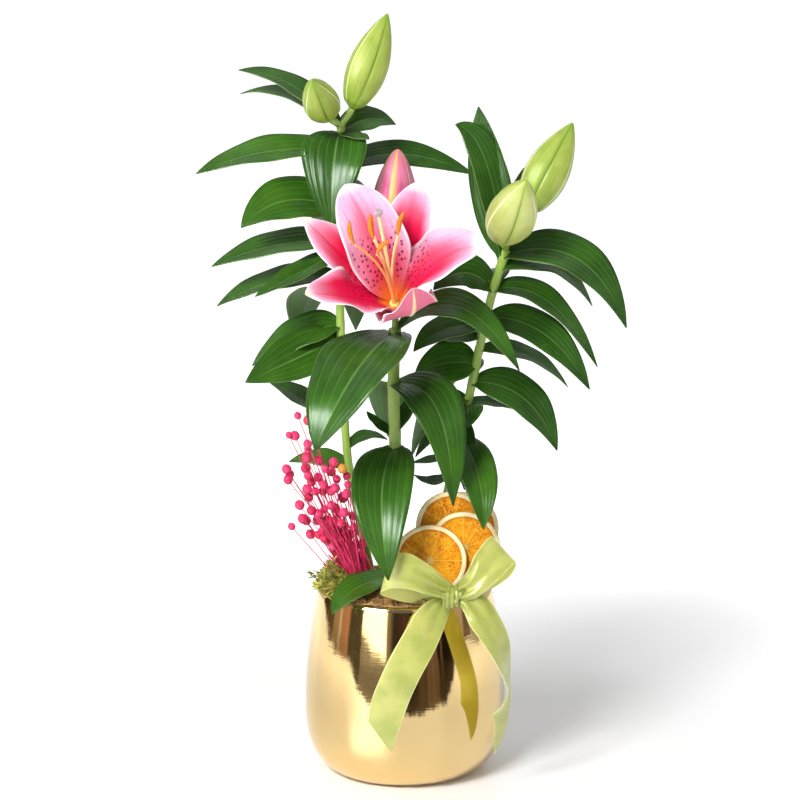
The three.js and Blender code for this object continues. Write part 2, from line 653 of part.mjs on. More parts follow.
// Bow: one satin ribbon with a knot, two loops and two tails, wired to a pick behind the rim
const RIBBON_HALF = RIBBON_WIDTH / 2;

// A band of ribbon. Each row is its middle point, the direction across it, and half its width there.
function band(rows, columns) {
  const across = Array.from({ length: columns }, (_, j) => (2 * j) / (columns - 1) - 1);
  const middles = rows.map(([middle]) => middle);
  const top = [];
  const bottom = [];
  rows.forEach(([middle, side, half], i) => {
    const before = middles[Math.max(i - 1, 0)];
    const after = middles[Math.min(i + 1, rows.length - 1)];
    const face = side.clone().cross(after.clone().sub(before)).normalize();
    const row = across.map((c) => middle.clone().addScaledVector(side, c * half));
    top.push(row.map((p) => p.clone().addScaledVector(face, RIBBON_THICKNESS / 2)));
    bottom.push(row.map((p) => p.clone().addScaledVector(face, -RIBBON_THICKNESS / 2)));
  });
  return solid(slab(top, bottom));
}

// Rows of a band from hand-chosen stations: middle point, direction across, half width
function smoothRows(stations, steps) {
  const middle = new THREE.CatmullRomCurve3(stations.map(([p]) => vec(...p)));
  const side = new THREE.CatmullRomCurve3(stations.map(([, s]) => vec(...s).normalize()));
  const half = new THREE.CatmullRomCurve3(stations.map(([, , h]) => vec(h, 0, 0)));
  return Array.from({ length: steps + 1 }, (_, i) => {
    const t = i / steps;
    return [middle.getPoint(t), side.getPoint(t).normalize(), half.getPoint(t).x];
  });
}
const KNOT = [33, -62.5, 144.6];
const LEFT_LOOP = [
  [[30, -66, 146], [0, 0.1, 1], 6],
  [[15, -75, 152], [0.1, 0.1, 1], 10],
  [[-3, -76, 160], [0.3, 0, 0.95], 12.3],
  [[-11, -69, 163], [0.45, 0, 0.9], RIBBON_HALF],
  [[-5, -61, 159], [0.4, 0, 0.9], 12.3],
  [[12, -56, 152], [0.1, 0, 1], 10],
  [[30, -60, 145], [0, 0, 1], 6],
];
const RIGHT_LOOP = [
  [[36, -66, 146], [0, 0.1, 1], 6],
  [[46, -73, 155], [-0.2, 0.1, 1], 10],
  [[58, -70, 167], [-0.5, 0, 0.85], 12.3],
  [[66, -61, 175], [-0.7, 0, 0.71], RIBBON_HALF],
  [[61, -54, 169], [-0.5, 0, 0.85], 12.3],
  [[49, -53, 157], [-0.2, 0, 1], 10],
  [[36, -60, 146], [0, 0, 1], 6],
];
const RIGHT_TAIL = [
  [[36, -66, 146], [-0.5, -0.2, -0.85], 6],
  [[45, -70, 142], [0.55, 0.2, 0.8], 9],
  [[57, -72, 125], [0.8, 0.55, 0.2], 12],
  [[65, -70, 109], [0.63, 0.77, 0.05], RIBBON_HALF],
  [[70, -66, 92], [0.3, 0.95, 0], RIBBON_HALF],
  [[72.5, -62, 78], [0.12, 0.99, 0], RIBBON_HALF],
  [[71, -60, 65], [0.28, 0.95, -0.1], RIBBON_HALF],
  [[67, -60, 54], [0.4, 0.8, -0.45], 13],
  [[63, -61, 41], [0, 0.3, -0.95], 15.5],
];
// The left tail lies on the pot's side. Each station is x, height, half width, how far it stands off
// the pot, and the angle by which the direction across it dips to the right.
const LEFT_TAIL = [
  [27, 143, 6, 3, 5],
  [20, 133, 11, 5, 10],
  [10.5, 113, RIBBON_HALF, 4, 22],
  [-1, 92, RIBBON_HALF, 2.5, 26],
  [-9.5, 72, RIBBON_HALF, 1.2, 26],
  [-18, 44, 13.7, 0.8, 53],
];
function tailOnPot() {
  const top = [];
  const bottom = [];
  for (const [x, z, half, clearance, dip] of LEFT_TAIL) {
    const row = [-1, -0.5, 0, 0.5, 1].map((c) => {
      const px = x + c * half * Math.cos(radians(dip));
      const pz = z - c * half * Math.sin(radians(dip));
      const reach = potRadius(Math.min(pz, POT_HEIGHT)) + clearance;
      return (depth) => vec(px, -Math.sqrt((reach + depth) ** 2 - px ** 2), pz);
    });
    top.push(row.map((place) => place(RIBBON_THICKNESS)));
    bottom.push(row.map((place) => place(0)));
  }
  return solid(slab(top.reverse(), bottom.reverse()));
}
const knotFoot = vec(KNOT[0], KNOT[1], POT_HEIGHT + SEAT);
const knot = solid(ringed(
  rings(knotFoot, up, [[0, 3], [3, 5.4], [8, 6], [13, 5.4], [16, 3]], 8),
  knotFoot, knotFoot.clone().setZ(knotFoot.z + 16),
));
const bow = fuse([
  knot,
  band(smoothRows(LEFT_LOOP, 13), 3),
  band(smoothRows(RIGHT_LOOP, 13), 3),
  band(smoothRows(RIGHT_TAIL, 9), 3),
  tailOnPot(),
]);
add("ribbon_bow", bow, 0xb9cb6a, 0.35);
const PICK_POINTS = [[36, -56, 142], [37, -50.5, 140], [38, -41, 130], [38, -37, 116]];
const pickRod = (extra) =>
  solid(rod(new THREE.CatmullRomCurve3(PICK_POINTS.map((p) => vec(...p))), 0.8 + extra, 5, 6));
add("bow_pick", pickRod(0), 0x7c8f57, 0.4, 0.6);

const mossCutters = [
  ...SIDES.map((side) => stemRods[side](STEM_HOLE)),
  ...sliceCentres.map((centre) => slice(centre, SEAT)),
  pickRod(SEAT),
  solid(rod(new THREE.LineCurve3(FLAX_FOOT, FLAX_FOOT.clone().addScaledVector(FLAX_LEAN, 60)), 5.6, 8, 1)),
];
add("moss", cut(mossMat, mossCutters), 0x7f8f3a, 0.95);

export default root;
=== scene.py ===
import bpy
import numpy as np
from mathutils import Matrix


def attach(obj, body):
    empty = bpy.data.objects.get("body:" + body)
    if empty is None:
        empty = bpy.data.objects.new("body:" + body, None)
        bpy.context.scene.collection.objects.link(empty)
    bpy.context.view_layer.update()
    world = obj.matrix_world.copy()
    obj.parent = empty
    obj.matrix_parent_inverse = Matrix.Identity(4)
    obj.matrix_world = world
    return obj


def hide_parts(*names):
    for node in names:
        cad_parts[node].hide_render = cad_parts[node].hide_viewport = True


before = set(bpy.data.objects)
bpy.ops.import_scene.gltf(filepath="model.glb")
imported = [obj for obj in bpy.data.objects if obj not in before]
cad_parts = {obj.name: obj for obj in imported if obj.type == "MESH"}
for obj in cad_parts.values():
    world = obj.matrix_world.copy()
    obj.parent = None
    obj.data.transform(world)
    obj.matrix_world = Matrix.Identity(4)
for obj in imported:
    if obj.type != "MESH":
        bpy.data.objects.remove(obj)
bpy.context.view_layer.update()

# The pot: one thin shell of glazed ceramic with a mirror-like gold coat, cast with a low belly, a
# rounded foot and a plain rim. It stands on its flat underside and holds all the rest.
POT_HEIGHT = 0.134
POT_RIM_RADIUS = 0.0625
POT_BELLY_RADIUS = 0.072
POT_BELLY_HEIGHT = 0.050
POT_FOOT_RADIUS = 0.046
POT_WALL = 0.0035
POT_FLOOR = 0.005
POT_GOLD = (0.6, 0.43, 0.185)
POT_SIDES = 160
# The heights between which the inside follows the outside, and how round the corner at its floor is
POT_INSIDE = (0.130, 0.012)
POT_CORNER = 0.003


def pot_radius(z):
    """Outer radius at height z: below the belly it swells from the foot by the root of one less the
    drop to the power 2.6, and above it it shrinks to the rim by the rise to the power 1.7."""
    drop = np.clip((POT_BELLY_HEIGHT - z) / POT_BELLY_HEIGHT, 0, 1)
    rise = np.clip((z - POT_BELLY_HEIGHT) / (POT_HEIGHT - POT_BELLY_HEIGHT), 0, 1)
    low = POT_FOOT_RADIUS + (POT_BELLY_RADIUS - POT_FOOT_RADIUS) * np.sqrt(1 - drop**2.6)
    high = POT_BELLY_RADIUS - (POT_BELLY_RADIUS - POT_RIM_RADIUS) * rise**1.7
    return np.where(z < POT_BELLY_HEIGHT, low, high)


def grid_faces(rows, columns, start=0, closed=False):
    """Quads between the points of a grid kept row after row, closed round its columns if asked."""
    i, j = np.meshgrid(np.arange(rows - 1), np.arange(columns if closed else columns - 1), indexing="ij")
    after = (j + 1) % columns
    corners = [i * columns + j, i * columns + after, (i + 1) * columns + after, (i + 1) * columns + j]
    return start + np.stack(corners, -1).reshape(-1, 4)


def capped_faces(rows, columns):
    """Quads of a grid closed round its columns, and a fan at each end to one of the two points that
    follow the grid."""
    faces = grid_faces(rows, columns, closed=True).tolist()
    count, last = rows * columns, (rows - 1) * columns
    for j in range(columns):
        after = (j + 1) % columns
        faces += [[count, after, j], [count + 1, last + j, last + after]]
    return faces


def make_piece(name, points, faces, materials, uv=None, attributes=None, slots=None):
    """A mesh object of points and faces, with a UV for each point, named values for each point and
    the place of each face's material in the list."""
    mesh = bpy.data.meshes.new(name)
    mesh.from_pydata(np.asarray(points, float).tolist(), [], [list(f) for f in faces])
    if uv is not None:
        layer = mesh.uv_layers.new(name="UVMap")
        corner = np.empty(len(mesh.loops), int)
        mesh.loops.foreach_get("vertex_index", corner)
        layer.data.foreach_set("uv", np.asarray(uv, float)[corner].ravel())
    for key, values in (attributes or {}).items():
        mesh.attributes.new(key, "FLOAT", "POINT").data.foreach_set("value", np.asarray(values, float))
    for material in materials:
        mesh.materials.append(material)
    if slots is not None:
        mesh.polygons.foreach_set("material_index", np.asarray(slots, int))
    mesh.polygons.foreach_set("use_smooth", np.ones(len(mesh.polygons), bool))
    mesh.update()
    piece = bpy.data.objects.new(name, mesh)
    bpy.context.scene.collection.objects.link(piece)
    return piece


def new_material(name):
    """A material, its node tree and its main shader."""
    material = bpy.data.materials.new(name)
    material.use_nodes = True
    return material, material.node_tree, material.node_tree.nodes["Principled BSDF"]


def fill(tree, made, inputs):
    """Fills a node's inputs, each named or counted: a socket is linked to it, a value is set."""
    for key, value in inputs.items():
        if isinstance(value, bpy.types.NodeSocket):
            tree.links.new(value, made.inputs[key])
        else:
            made.inputs[key].default_value = value


def node(tree, kind, inputs=None, **settings):
    """A node of one kind with its settings and its inputs filled."""
    made = tree.nodes.new("ShaderNode" + kind)
    for key, value in settings.items():
        setattr(made, key, value)
    fill(tree, made, inputs or {})
    return made


def maths(tree, operation, a, b=0.5, c=0.0):
    """The result of one sum, product or other operation on sockets or numbers."""
    return node(tree, "Math", {0: a, 1: b, 2: c}, operation=operation).outputs[0]


def times(tree, a, b, plus=None):
    """The product of two sockets or numbers, with a third one added to it if given."""
    if plus is None:
        return maths(tree, "MULTIPLY", a, b)
    return maths(tree, "MULTIPLY_ADD", a, b, plus)


def blend(tree, factor, a, b, amount=1, blend_type="MIX"):
    """Colour a turned into colour b by a factor times an amount. A colour is a socket, or its red,
    green and blue."""
    if amount != 1:
        factor = times(tree, factor, amount)
    a, b = (part if isinstance(part, bpy.types.NodeSocket) else (*part, 1) for part in (a, b))
    mixed = node(tree, "Mix", {0: factor, 6: a, 7: b}, data_type="RGBA", blend_type=blend_type)
    return mixed.outputs[2]


def smooth_step(tree, value, low, high):
    """Rises smoothly from 0 to 1 as the value goes from low to high; low may be the larger."""
    if low > high:
        return maths(tree, "SUBTRACT", 1.0, smooth_step(tree, value, high, low))
    return node(tree, "MapRange", {0: value, 1: low, 2: high}, interpolation_type="SMOOTHSTEP").outputs[0]


def place(tree, stretch=(1, 1, 1), source="Object"):
    """Coordinates of the surface, each axis stretched by its own factor."""
    where = node(tree, "TexCoord").outputs[source]
    return node(tree, "Mapping", {0: where, 3: stretch}).outputs[0]


def noise(tree, scale, detail=3.0, roughness=0.5, stretch=(1, 1, 1), source="Object"):
    """Soft noise from 0 to 1 over the surface."""
    where = place(tree, stretch, source)
    inputs = {"Vector": where, "Scale": scale, "Detail": detail, "Roughness": roughness}
    return node(tree, "TexNoise", inputs).outputs[0]


def bump(tree, height, strength, distance):
    """The normals of a surface raised by a height from 0 to 1 times a distance in metres."""
    return node(tree, "Bump", {"Height": height, "Strength": strength, "Distance": distance}).outputs[0]


def full_turn(sides):
    """Angles spread evenly over a full turn."""
    return np.linspace(0, 2 * np.pi, sides, endpoint=False)


def revolved(profile, sides):
    """Points and faces of a profile of radii and heights turned about the upright axis. Its first and
    last points lie on the axis."""
    radius, height = np.asarray(profile, float)[1:-1].T
    angle = full_turn(sides)
    level = np.broadcast_to(height[:, None], (len(height), sides))
    points = np.stack([np.outer(radius, np.cos(angle)), np.outer(radius, np.sin(angle)), level], -1)
    ends = [[0, 0, profile[0][1]], [0, 0, profile[-1][1]]]
    return np.vstack([points.reshape(-1, 3), ends]), capped_faces(len(height), sides)


foot_heights = POT_BELLY_HEIGHT * (1 - np.cos(np.linspace(0, np.pi / 2, 22)))
wall_heights = np.linspace(POT_BELLY_HEIGHT, POT_HEIGHT - POT_WALL / 2, 24)[1:]
outer = [(float(pot_radius(z)), float(z)) for z in np.concatenate([foot_heights, wall_heights])]
lip_angles = np.linspace(0, np.pi, 9)[1:-1]
lip = [(POT_RIM_RADIUS - POT_WALL / 2 * (1 - np.cos(a)), POT_HEIGHT - POT_WALL / 2 * (1 - np.sin(a)))
       for a in lip_angles]
inner = [(float(pot_radius(z)) - POT_WALL, float(z)) for z in np.linspace(*POT_INSIDE, 18)]
corner = (float(pot_radius(POT_FLOOR)) - POT_WALL - POT_CORNER, POT_FLOOR)
pot_profile = [(0, 0), *outer, *lip, *inner, corner, (0, POT_FLOOR)]

pot_material, tree, shader = new_material("gold_glaze")
ripples = noise(tree, 1.0, stretch=(60, 60, 650))
dents = noise(tree, 30.0, 2.0)
specks = noise(tree, 900.0, 2.0)
wear = times(tree, smooth_step(tree, specks, 0.62, 0.75), 0.1)
cloudy = times(tree, noise(tree, 4.0, stretch=(8, 8, 30)), 0.05, 0.045)
fill(tree, shader, {
    "Base Color": blend(tree, noise(tree, 12.0), POT_GOLD, (0.85, 0.65, 0.33)),
    "Metallic": 1.0,
    "Roughness": maths(tree, "ADD", cloudy, wear),
    "Normal": bump(tree, times(tree, ripples, 0.07, dents), 1.0, 0.0003),
})
pot = make_piece("pot_shell", *revolved(pot_profile, POT_SIDES), [pot_material])
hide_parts("pot")
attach(pot, "root")

# The soil and the three scaly bulbs in it: dark, crumbly earth up to under the moss, and cream scales
# closed over one another. The moss hides both.
soil_material, tree, shader = new_material("crumbly_soil")
crumbs = noise(tree, 420.0, 6.0, 0.7)
clods = noise(tree, 90.0)
earth = blend(tree, crumbs, (0.012, 0.007, 0.004), (0.07, 0.042, 0.024))
fill(tree, shader, {
    "Base Color": blend(tree, clods, earth, (0.03, 0.02, 0.012), 0.4),
    "Roughness": 0.95,
    "Normal": bump(tree, crumbs, 1.0, 0.003),
})
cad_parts["soil"].data.materials[0] = soil_material

bulb_material, tree, shader = new_material("bulb_scales")
scales = node(tree, "TexVoronoi", {"Vector": place(tree, (1, 1, 0.5)), "Scale": 130.0}).outputs["Distance"]
cream = blend(tree, smooth_step(tree, scales, 0.2, 0.8), (0.74, 0.66, 0.44), (0.36, 0.2, 0.1))
fill(tree, shader, {"Base Color": cream, "Roughness": 0.6, "Normal": bump(tree, scales, 0.8, 0.002)})
for side in ("left", "middle", "right"):
    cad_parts["bulb_" + side].data.materials[0] = bulb_material

# The moss: a lumpy mat pressed round the stems, highest in a clump at the left rim. Yellow-green
# sprigs with whorls of narrow leaflets cover it, and dry brown fibres show between them at the front.
MOSS_LEVEL = 0.126
MOSS_FOOT = 0.1123
MOSS_EDGE = 59
MOSS_RADIUS = POT_RIM_RADIUS - POT_WALL - 0.0003
MOSS_RINGS = 33
MOSS_SIDES = 132
# Each lump: the place of its middle, its height and its width, in millimetres
MOSS_LUMPS = [(-50, -7, 25, 14), (-27, -46, 9, 12), (31, -34, 20, 15), (9, -47, 9, 13), (42, 12, 9, 16),
              (0, 36, 8, 20), (-44, -34, 8, 9), (-55, -24, 9, 7), (-52, -33, 8, 5)]
# Middle and spread of the high clump, of the closer sprigs beside it and of the dry patch in front
CLUMP_MIDDLE, CLUMP_SPREAD = (-0.050, -0.007), 0.016
CLOSE_MIDDLE, CLOSE_SPREAD = (-0.051, -0.026), (0.007, 0.008)
DRY_MIDDLE, DRY_SPREAD = (0.002, -0.055), (0.022, 0.014)
SPRIG_COUNT = 4200
SPRIG_LENGTH = (0.0036, 0.0060)
LEAFLETS = 9
# The fibres: how many, the points of each, how far out the front ones and all of them may start, how
# far they may reach over the rim, and the radius from which they have to stay above it
FIBRE_COUNT = 2000
FIBRE_POINTS = 7
FIBRE_FRONT = 0.0575
FIBRE_START = 0.0585
FIBRE_REACH = 0.0615
RIM_INSIDE = 0.0580
RIM_CLEAR = 0.1346


def moss_height(x, y):
    """Height of the mat: its level, two waves of about a millimetre, and a bell-shaped rise for
    each lump, its height times e to the minus half the distance over the width squared. The lumps
    round off toward the pot's wall by the root of the distance to it."""
    x, y = x * 1000, y * 1000
    slack = 0.3 + 0.7 * np.sqrt(np.clip((MOSS_EDGE - np.hypot(x, y)) / 12, 0, 1))
    rise = 1.3 * np.sin(x * 0.34 + 1) * np.cos(y * 0.29) + 0.8 * np.sin(x * 0.8 - y * 0.6)
    for cx, cy, height, width in MOSS_LUMPS:
        rise = rise + slack * height * np.exp(-((x - cx) ** 2 + (y - cy) ** 2) / (2 * width**2))
    return MOSS_LEVEL + rise / 1000


def unit(vectors):
    """Vectors shortened or lengthened to one."""
    return vectors / np.maximum(np.linalg.norm(vectors, axis=-1, keepdims=True), 1e-12)


def turned(angle, first, second):
    """Directions at angles from the first toward the second, which lies across it: the cosine of the
    one and the sine of the other."""
    return np.cos(angle)[..., None] * first + np.sin(angle)[..., None] * second


def sprig(root, way, length, chance, draw):
    """A sprig: a thin three-sided stalk and pairs of narrow leaflets that stand off it all round and
    point ahead. Each leaflet is two triangles folded along their middle."""
    side = unit(np.cross(way, draw.normal(size=3)))
    other = np.cross(way, side)
    ring = turned(np.array([0, 2.1, 4.2]), side, other)
    points = list(root + length * 0.05 * ring) + [root + length * 0.8 * way]
    faces = [[0, 1, 3], [1, 2, 3], [2, 0, 3]]
    for k in range(LEAFLETS):
        out = turned(2.4 * k + chance * 6, side, other)
        at = root + way * length * (0.12 + 0.09 * k)
        tip = at + (out * (0.62 - 0.03 * k) + way * (0.35 + 0.03 * k)) * length * 0.62
        flank = np.cross(out, way) * length * 0.075
        middle = at * 0.55 + tip * 0.45 + way * length * 0.02
        start = len(points)
        points += [at, middle + flank, tip, middle - flank]
        faces += [[start, start + 1, start + 2], [start, start + 2, start + 3]]
    return np.array(points), faces


def gathered(parts):
    """Several parts as one: each is points, faces and any number of lists with an entry per point."""
    counts = np.cumsum([0] + [len(part[0]) for part in parts])
    faces = [[int(v) + int(start) for v in f] for part, start in zip(parts, counts) for f in part[1]]
    rest = [np.concatenate([part[k] for part in parts]) for k in range(2, len(parts[0]))]
    return [np.vstack([part[0] for part in parts]), faces, *rest]


def valued(part, *values):
    """A part with further lists, each with the same value for all its points."""
    return (*part, *(np.full(len(part[0]), value, float) for value in values))


draw = np.random.default_rng(5)
rings = np.linspace(0.0, 1.0, MOSS_RINGS + 1)[1:]
angles = full_turn(MOSS_SIDES)
mat = np.stack([np.outer(rings, np.cos(angles)), np.outer(rings, np.sin(angles))], -1) * MOSS_RADIUS
mat = np.concatenate([mat, moss_height(mat[..., 0], mat[..., 1])[..., None]], -1)
mat[..., 2] += draw.normal(0, 0.0007, mat.shape[:2])
foot = mat[-1:].copy()
foot[..., 2] = MOSS_FOOT
mat = np.concatenate([mat, foot]).reshape(-1, 3)
middle = [[0, 0, moss_height(0, 0)], [0, 0, MOSS_FOOT]]
last = MOSS_RINGS * MOSS_SIDES
faces = grid_faces(MOSS_RINGS + 1, MOSS_SIDES, closed=True).tolist()
for j in range(MOSS_SIDES):
    after = (j + 1) % MOSS_SIDES
    faces += [[len(mat), j, after], [len(mat) + 1, last + after, last + j]]
# The mat gets a low, dark brown tone: partly its own colour, partly painted shade for the gaps between the
# sprigs and fibres.
moss_parts = [valued((np.vstack([mat, middle]), faces), 0.1, 0.8)]
while len(moss_parts) <= SPRIG_COUNT:
    angle, share = draw.uniform(0, 2 * np.pi), np.sqrt(draw.uniform())
    x, y = MOSS_RADIUS * share * np.cos(angle), MOSS_RADIUS * share * np.sin(angle)
    if draw.uniform() < 0.2:
        x, y = draw.normal(CLOSE_MIDDLE, CLOSE_SPREAD)
        if np.hypot(x, y) > MOSS_RADIUS:
            continue
    apart = (np.array([x, y]) - DRY_MIDDLE) / DRY_SPREAD
    dryness = np.exp(-apart @ apart)
    if draw.uniform() < 0.85 * dryness:
        continue
    slope = [(moss_height(x + 0.001, y) - moss_height(x - 0.001, y)) / 0.002,
             (moss_height(x, y + 0.001) - moss_height(x, y - 0.001)) / 0.002]
    upward = unit(np.array([-slope[0], -slope[1], 1.0]))
    outward = np.array([np.cos(angle), np.sin(angle), 0]) * (0.6 if share > 0.9 else 0.1)
    way = unit(upward + outward + draw.normal(0, 0.42, 3))
    apart = (np.array([x, y]) - CLUMP_MIDDLE) / CLUMP_SPREAD
    clump = np.exp(-apart @ apart / 2)
    length = draw.uniform(*SPRIG_LENGTH) * (1 + 0.5 * clump)
    if clump > 0.5 and draw.uniform() < 0.012:
        length *= 2.0
    root = np.array([x, y, moss_height(x, y) - 0.001])
    points, faces = sprig(root, way, length, draw.uniform(), draw)
    shades = np.linspace(0, 0.25, len(points)) + draw.uniform(0.0, 0.75)
    dry = min(1.0, 0.6 * dryness + (draw.uniform() < 0.12) * 0.6)
    moss_parts.append(valued((points, faces, shades), dry))
s = np.linspace(0, 1, FIBRE_POINTS)
for _ in range(FIBRE_COUNT):
    front = draw.uniform() < 0.75
    if front:
        x = draw.uniform(-0.030, 0.030)
        y = abs(draw.normal(0, 0.007)) - np.sqrt(FIBRE_FRONT**2 - x**2)
    else:
        x = draw.uniform(-0.055, 0.055)
        y = draw.uniform(-0.04, 0.05)
    if np.hypot(x, y) > FIBRE_START:
        continue
    heading, bend = draw.uniform(0, 2 * np.pi), draw.uniform(-3.5, 3.5)
    length, rise = draw.uniform(0.006, 0.016), draw.uniform(0.001, 0.0065 if front else 0.0035)
    turn = heading + bend * s
    steps = np.stack([np.cos(turn), np.sin(turn)], -1) * length / (FIBRE_POINTS - 1)
    path = np.array([x, y]) + np.cumsum(steps, axis=0) - steps[0]
    reach = np.maximum(np.hypot(path[:, 0], path[:, 1]), 1e-6)
    path *= np.minimum(1, FIBRE_REACH / reach)[:, None]
    out = np.hypot(path[:, 0], path[:, 1])
    inside = np.minimum(out, MOSS_RADIUS) / reach
    height = np.maximum(moss_height(path[:, 0] * inside, path[:, 1] * inside), MOSS_LEVEL)
    path = np.column_stack([path, height + 0.0006 + rise * np.sin(np.pi * s)])
    path[:, 2] = np.maximum(path[:, 2], np.where(out > RIM_INSIDE, RIM_CLEAR, 0))
    ahead = unit(np.gradient(path, axis=0))
    side = unit(np.cross(ahead, [0.1, 0.2, 1.0]))
    over = np.cross(side, ahead)
    thick = draw.uniform(0.00018, 0.00044)
    ring = np.stack([side, -0.5 * side + 0.87 * over, -0.5 * side - 0.87 * over], 1) * thick
    fibre = ((path[:, None] + ring).reshape(-1, 3), grid_faces(FIBRE_POINTS, 3, closed=True))
    moss_parts.append(valued(fibre, draw.uniform(), 1.0))


def carried(tree, name):
    """A value that the piece carries at each of its points."""
    return node(tree, "Attribute", attribute_name=name).outputs["Fac"]


moss_material, tree, shader = new_material("moss")
shade = carried(tree, "shade")
dry = carried(tree, "dry")
mottled = noise(tree, 700.0)
fresh = blend(tree, shade, (0.04, 0.055, 0.006), (0.62, 0.62, 0.1))
brown = blend(tree, shade, (0.07, 0.026, 0.006), (0.86, 0.5, 0.17))
mossy = blend(tree, dry, fresh, brown)
fill(tree, shader, {
    "Base Color": blend(tree, mottled, mossy, (0.06, 0.06, 0.01), 0.4),
    "Roughness": 0.7,
    "Normal": bump(tree, mottled, 0.5, 0.0004),
})
points, faces, shades, dries = gathered(moss_parts)
values = {"shade": shades, "dry": dries}
moss = make_piece("moss_mat", points, faces, [moss_material], attributes=values)
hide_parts("moss")
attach(moss, "root")

# The stems: three lily plants, each grown as one with its leaves and flower stalks. The leaves are
# waxy blades with a few pale parallel veins, and clasp the stem without a stalk of their own.
STEM_RADIUS = {"left": 0.0029, "middle": 0.0041, "right": 0.0031}
STEM_POINTS = {
    "left": [(-25, 13, 68), (-25, 13, 80), (-22, 9, 122), (-40, 10, 218), (-45, 9, 300), (-46, 8, 390),
             (-44.5, 8, 462)],
    "middle": [(1, -28, 68), (1, -28, 80), (-4, -22, 130), (-7, -21, 244), (-8, -20, 285), (-7, -20, 324)],
    "right": [(25, 16, 68), (25, 16, 80), (18, 12, 127), (34, 12, 216), (46, 10, 271), (60, 8, 338),
              (71, 6, 376)],
}
# Each leaf: height on the stem, heading in degrees, the reach and rise of its middle and of its tip,
# width, roll in degrees and, for a few, twist and sway; all lengths are in millimetres.
LEAVES = {
    "left": [
        (462, 165, 37, 29, 75, 38, 22, 25),
        (461, 150, 42, 22, 84, 21, 18, 20),
        (458, 25, 21, 9, 42, 4, 26, -35),
        (458, -50, 17, -2, 31, -3, 14, -10),
        (458, -104, 19, -18, 27, -66, 46, 0),
        (446, 186, 53, -1, 101, -16, 32, 28),
        (430, 16, 45, 11, 98, -4, 24, -15, -60, -13),
        (402, 46, 20, 16, 38, 3, 22, -20),
        (440, 92, 36, 6, 66, -12, 34, 0),
        (404, 200, 39, 8, 72, -10, 38, 45),
        (395, 102, 34, 4, 60, -16, 34, 0),
        (382, 182, 46, -3, 90, -18, 30, 28),
        (374, 215, 34, -12, 70, -26, 24, 14),
        (357, 174, 49, -5, 88, -23, 30, 25),
        (345, 125, 40, -8, 52, -45, 34, 0),
        (352, 75, 30, -4, 40, -40, 32, 0),
        (322, 172, 32, -9, 64, -31, 36, 35),
        (313, 205, 33, -12, 73, -27, 40, 45),
        (250, 165, 34, 18, 62, 33, 28, 10),
        (232, 14, 14, 9, 30, 5, 13, -20),
        (218, 166, 22, 6, 45, 2, 20, 25),
    ],
    "middle": [
        (321, -124, 66, -17, 95, -68, 64, 0, 0, -12),
        (322, -22, 47, 20, 92, -22, 30, -30),
        (285, -46, 43, -12, 59, -78, 38, -20),
        (285, 95, 22, -12, 30, -46, 34, 0),
        (240, -94, 44, -24, 64, -80, 43, 0, 0, 6),
        (247, 150, 14, 8, 23, 16, 14, 0),
        (250, 40, 12, 15, 23, 28, 16, 0),
        (146, 222, 38, -1, 62, -16, 25, 15),
    ],
    "right": [
        (370, 140, 13, 56, 23, 105, 30, 70),
        (372, 172, 14, 67, 35, 91, 28, 50),
        (368, 66, 30, 30, 40, 62, 28, 0),
        (372, -12, 52, -1, 87, -49, 36, -38),
        (363, 15, 37, 2, 69, -30, 30, -33),
        (347, -5, 38, -7, 74, -54, 26, -30),
        (327, -15, 41, -9, 75, -48, 30, -40),
        (352, 98, 30, 6, 54, -12, 30, 0),
        (318, 92, 32, 4, 58, -16, 30, 0),
        (304, 10, 36, -5, 65, -29, 22, -25),
        (288, 108, 30, 0, 52, -20, 28, 0),
        (281, -10, 37, -11, 61, -48, 34, -38),
        (347, 190, 21, 13, 43, 1, 30, 45),
        (322, 195, 30, -2, 52, -17, 26, 30),
        (313, 170, 17, -1, 34, -1, 16, 20),
        (293, 188, 21, 2, 44, -6, 34, 50),
        (268, 190, 24, -6, 41, -40, 26, 20),
        (266, 10, 18, -1, 33, -6, 14, -20),
        (264, -90, 20, -1, 28, -11, 22, 0),
        (253, -90, 19, -18, 25, -46, 16, 0),
        (242, -77, 50, -18, 66, -54, 28, 0),
        (253, 190, 17, -5, 35, -26, 18, 25),
        (227, 185, 17, -3, 31, -5, 10, 20),
        (213, 185, 14, -5, 27, 0, 12, 20),
    ],
}
# Each flower stalk: its stem, the flower's base and the way the flower faces
BUD_PLACES = {
    "bud_left_tall": ("left", (-37, 6, 475), (-12, 12, 540), 14, 0.8),
    "bud_left_short": ("left", (-54, -2, 470), (-63, -46, 497), 12.5, 0.8),
    "bud_middle_pink": ("middle", (-10, 15, 365), (-5, 12, 446), 17, 0.6),
    "bud_right_front": ("right", (67, -5, 385), (82, -50, 430), 17, 0.8),
    "bud_right_tall": ("right", (86, 12, 402), (118, 20, 464), 15.5, 0.8),
}
BLOOM_BASE = np.array([-0.007, -0.025, 0.340])
BLOOM_AXIS = unit(np.array([-0.1, -0.65, 0.75]))
STEM_STEPS = 160
STEM_SIDES = 20
LEAF_THICKNESS = 0.0006
LEAF_FOLD = 0.16
LEAF_ROWS = 31
LEAF_COLUMNS = 13
PEDICEL_RADIUS = 0.0022


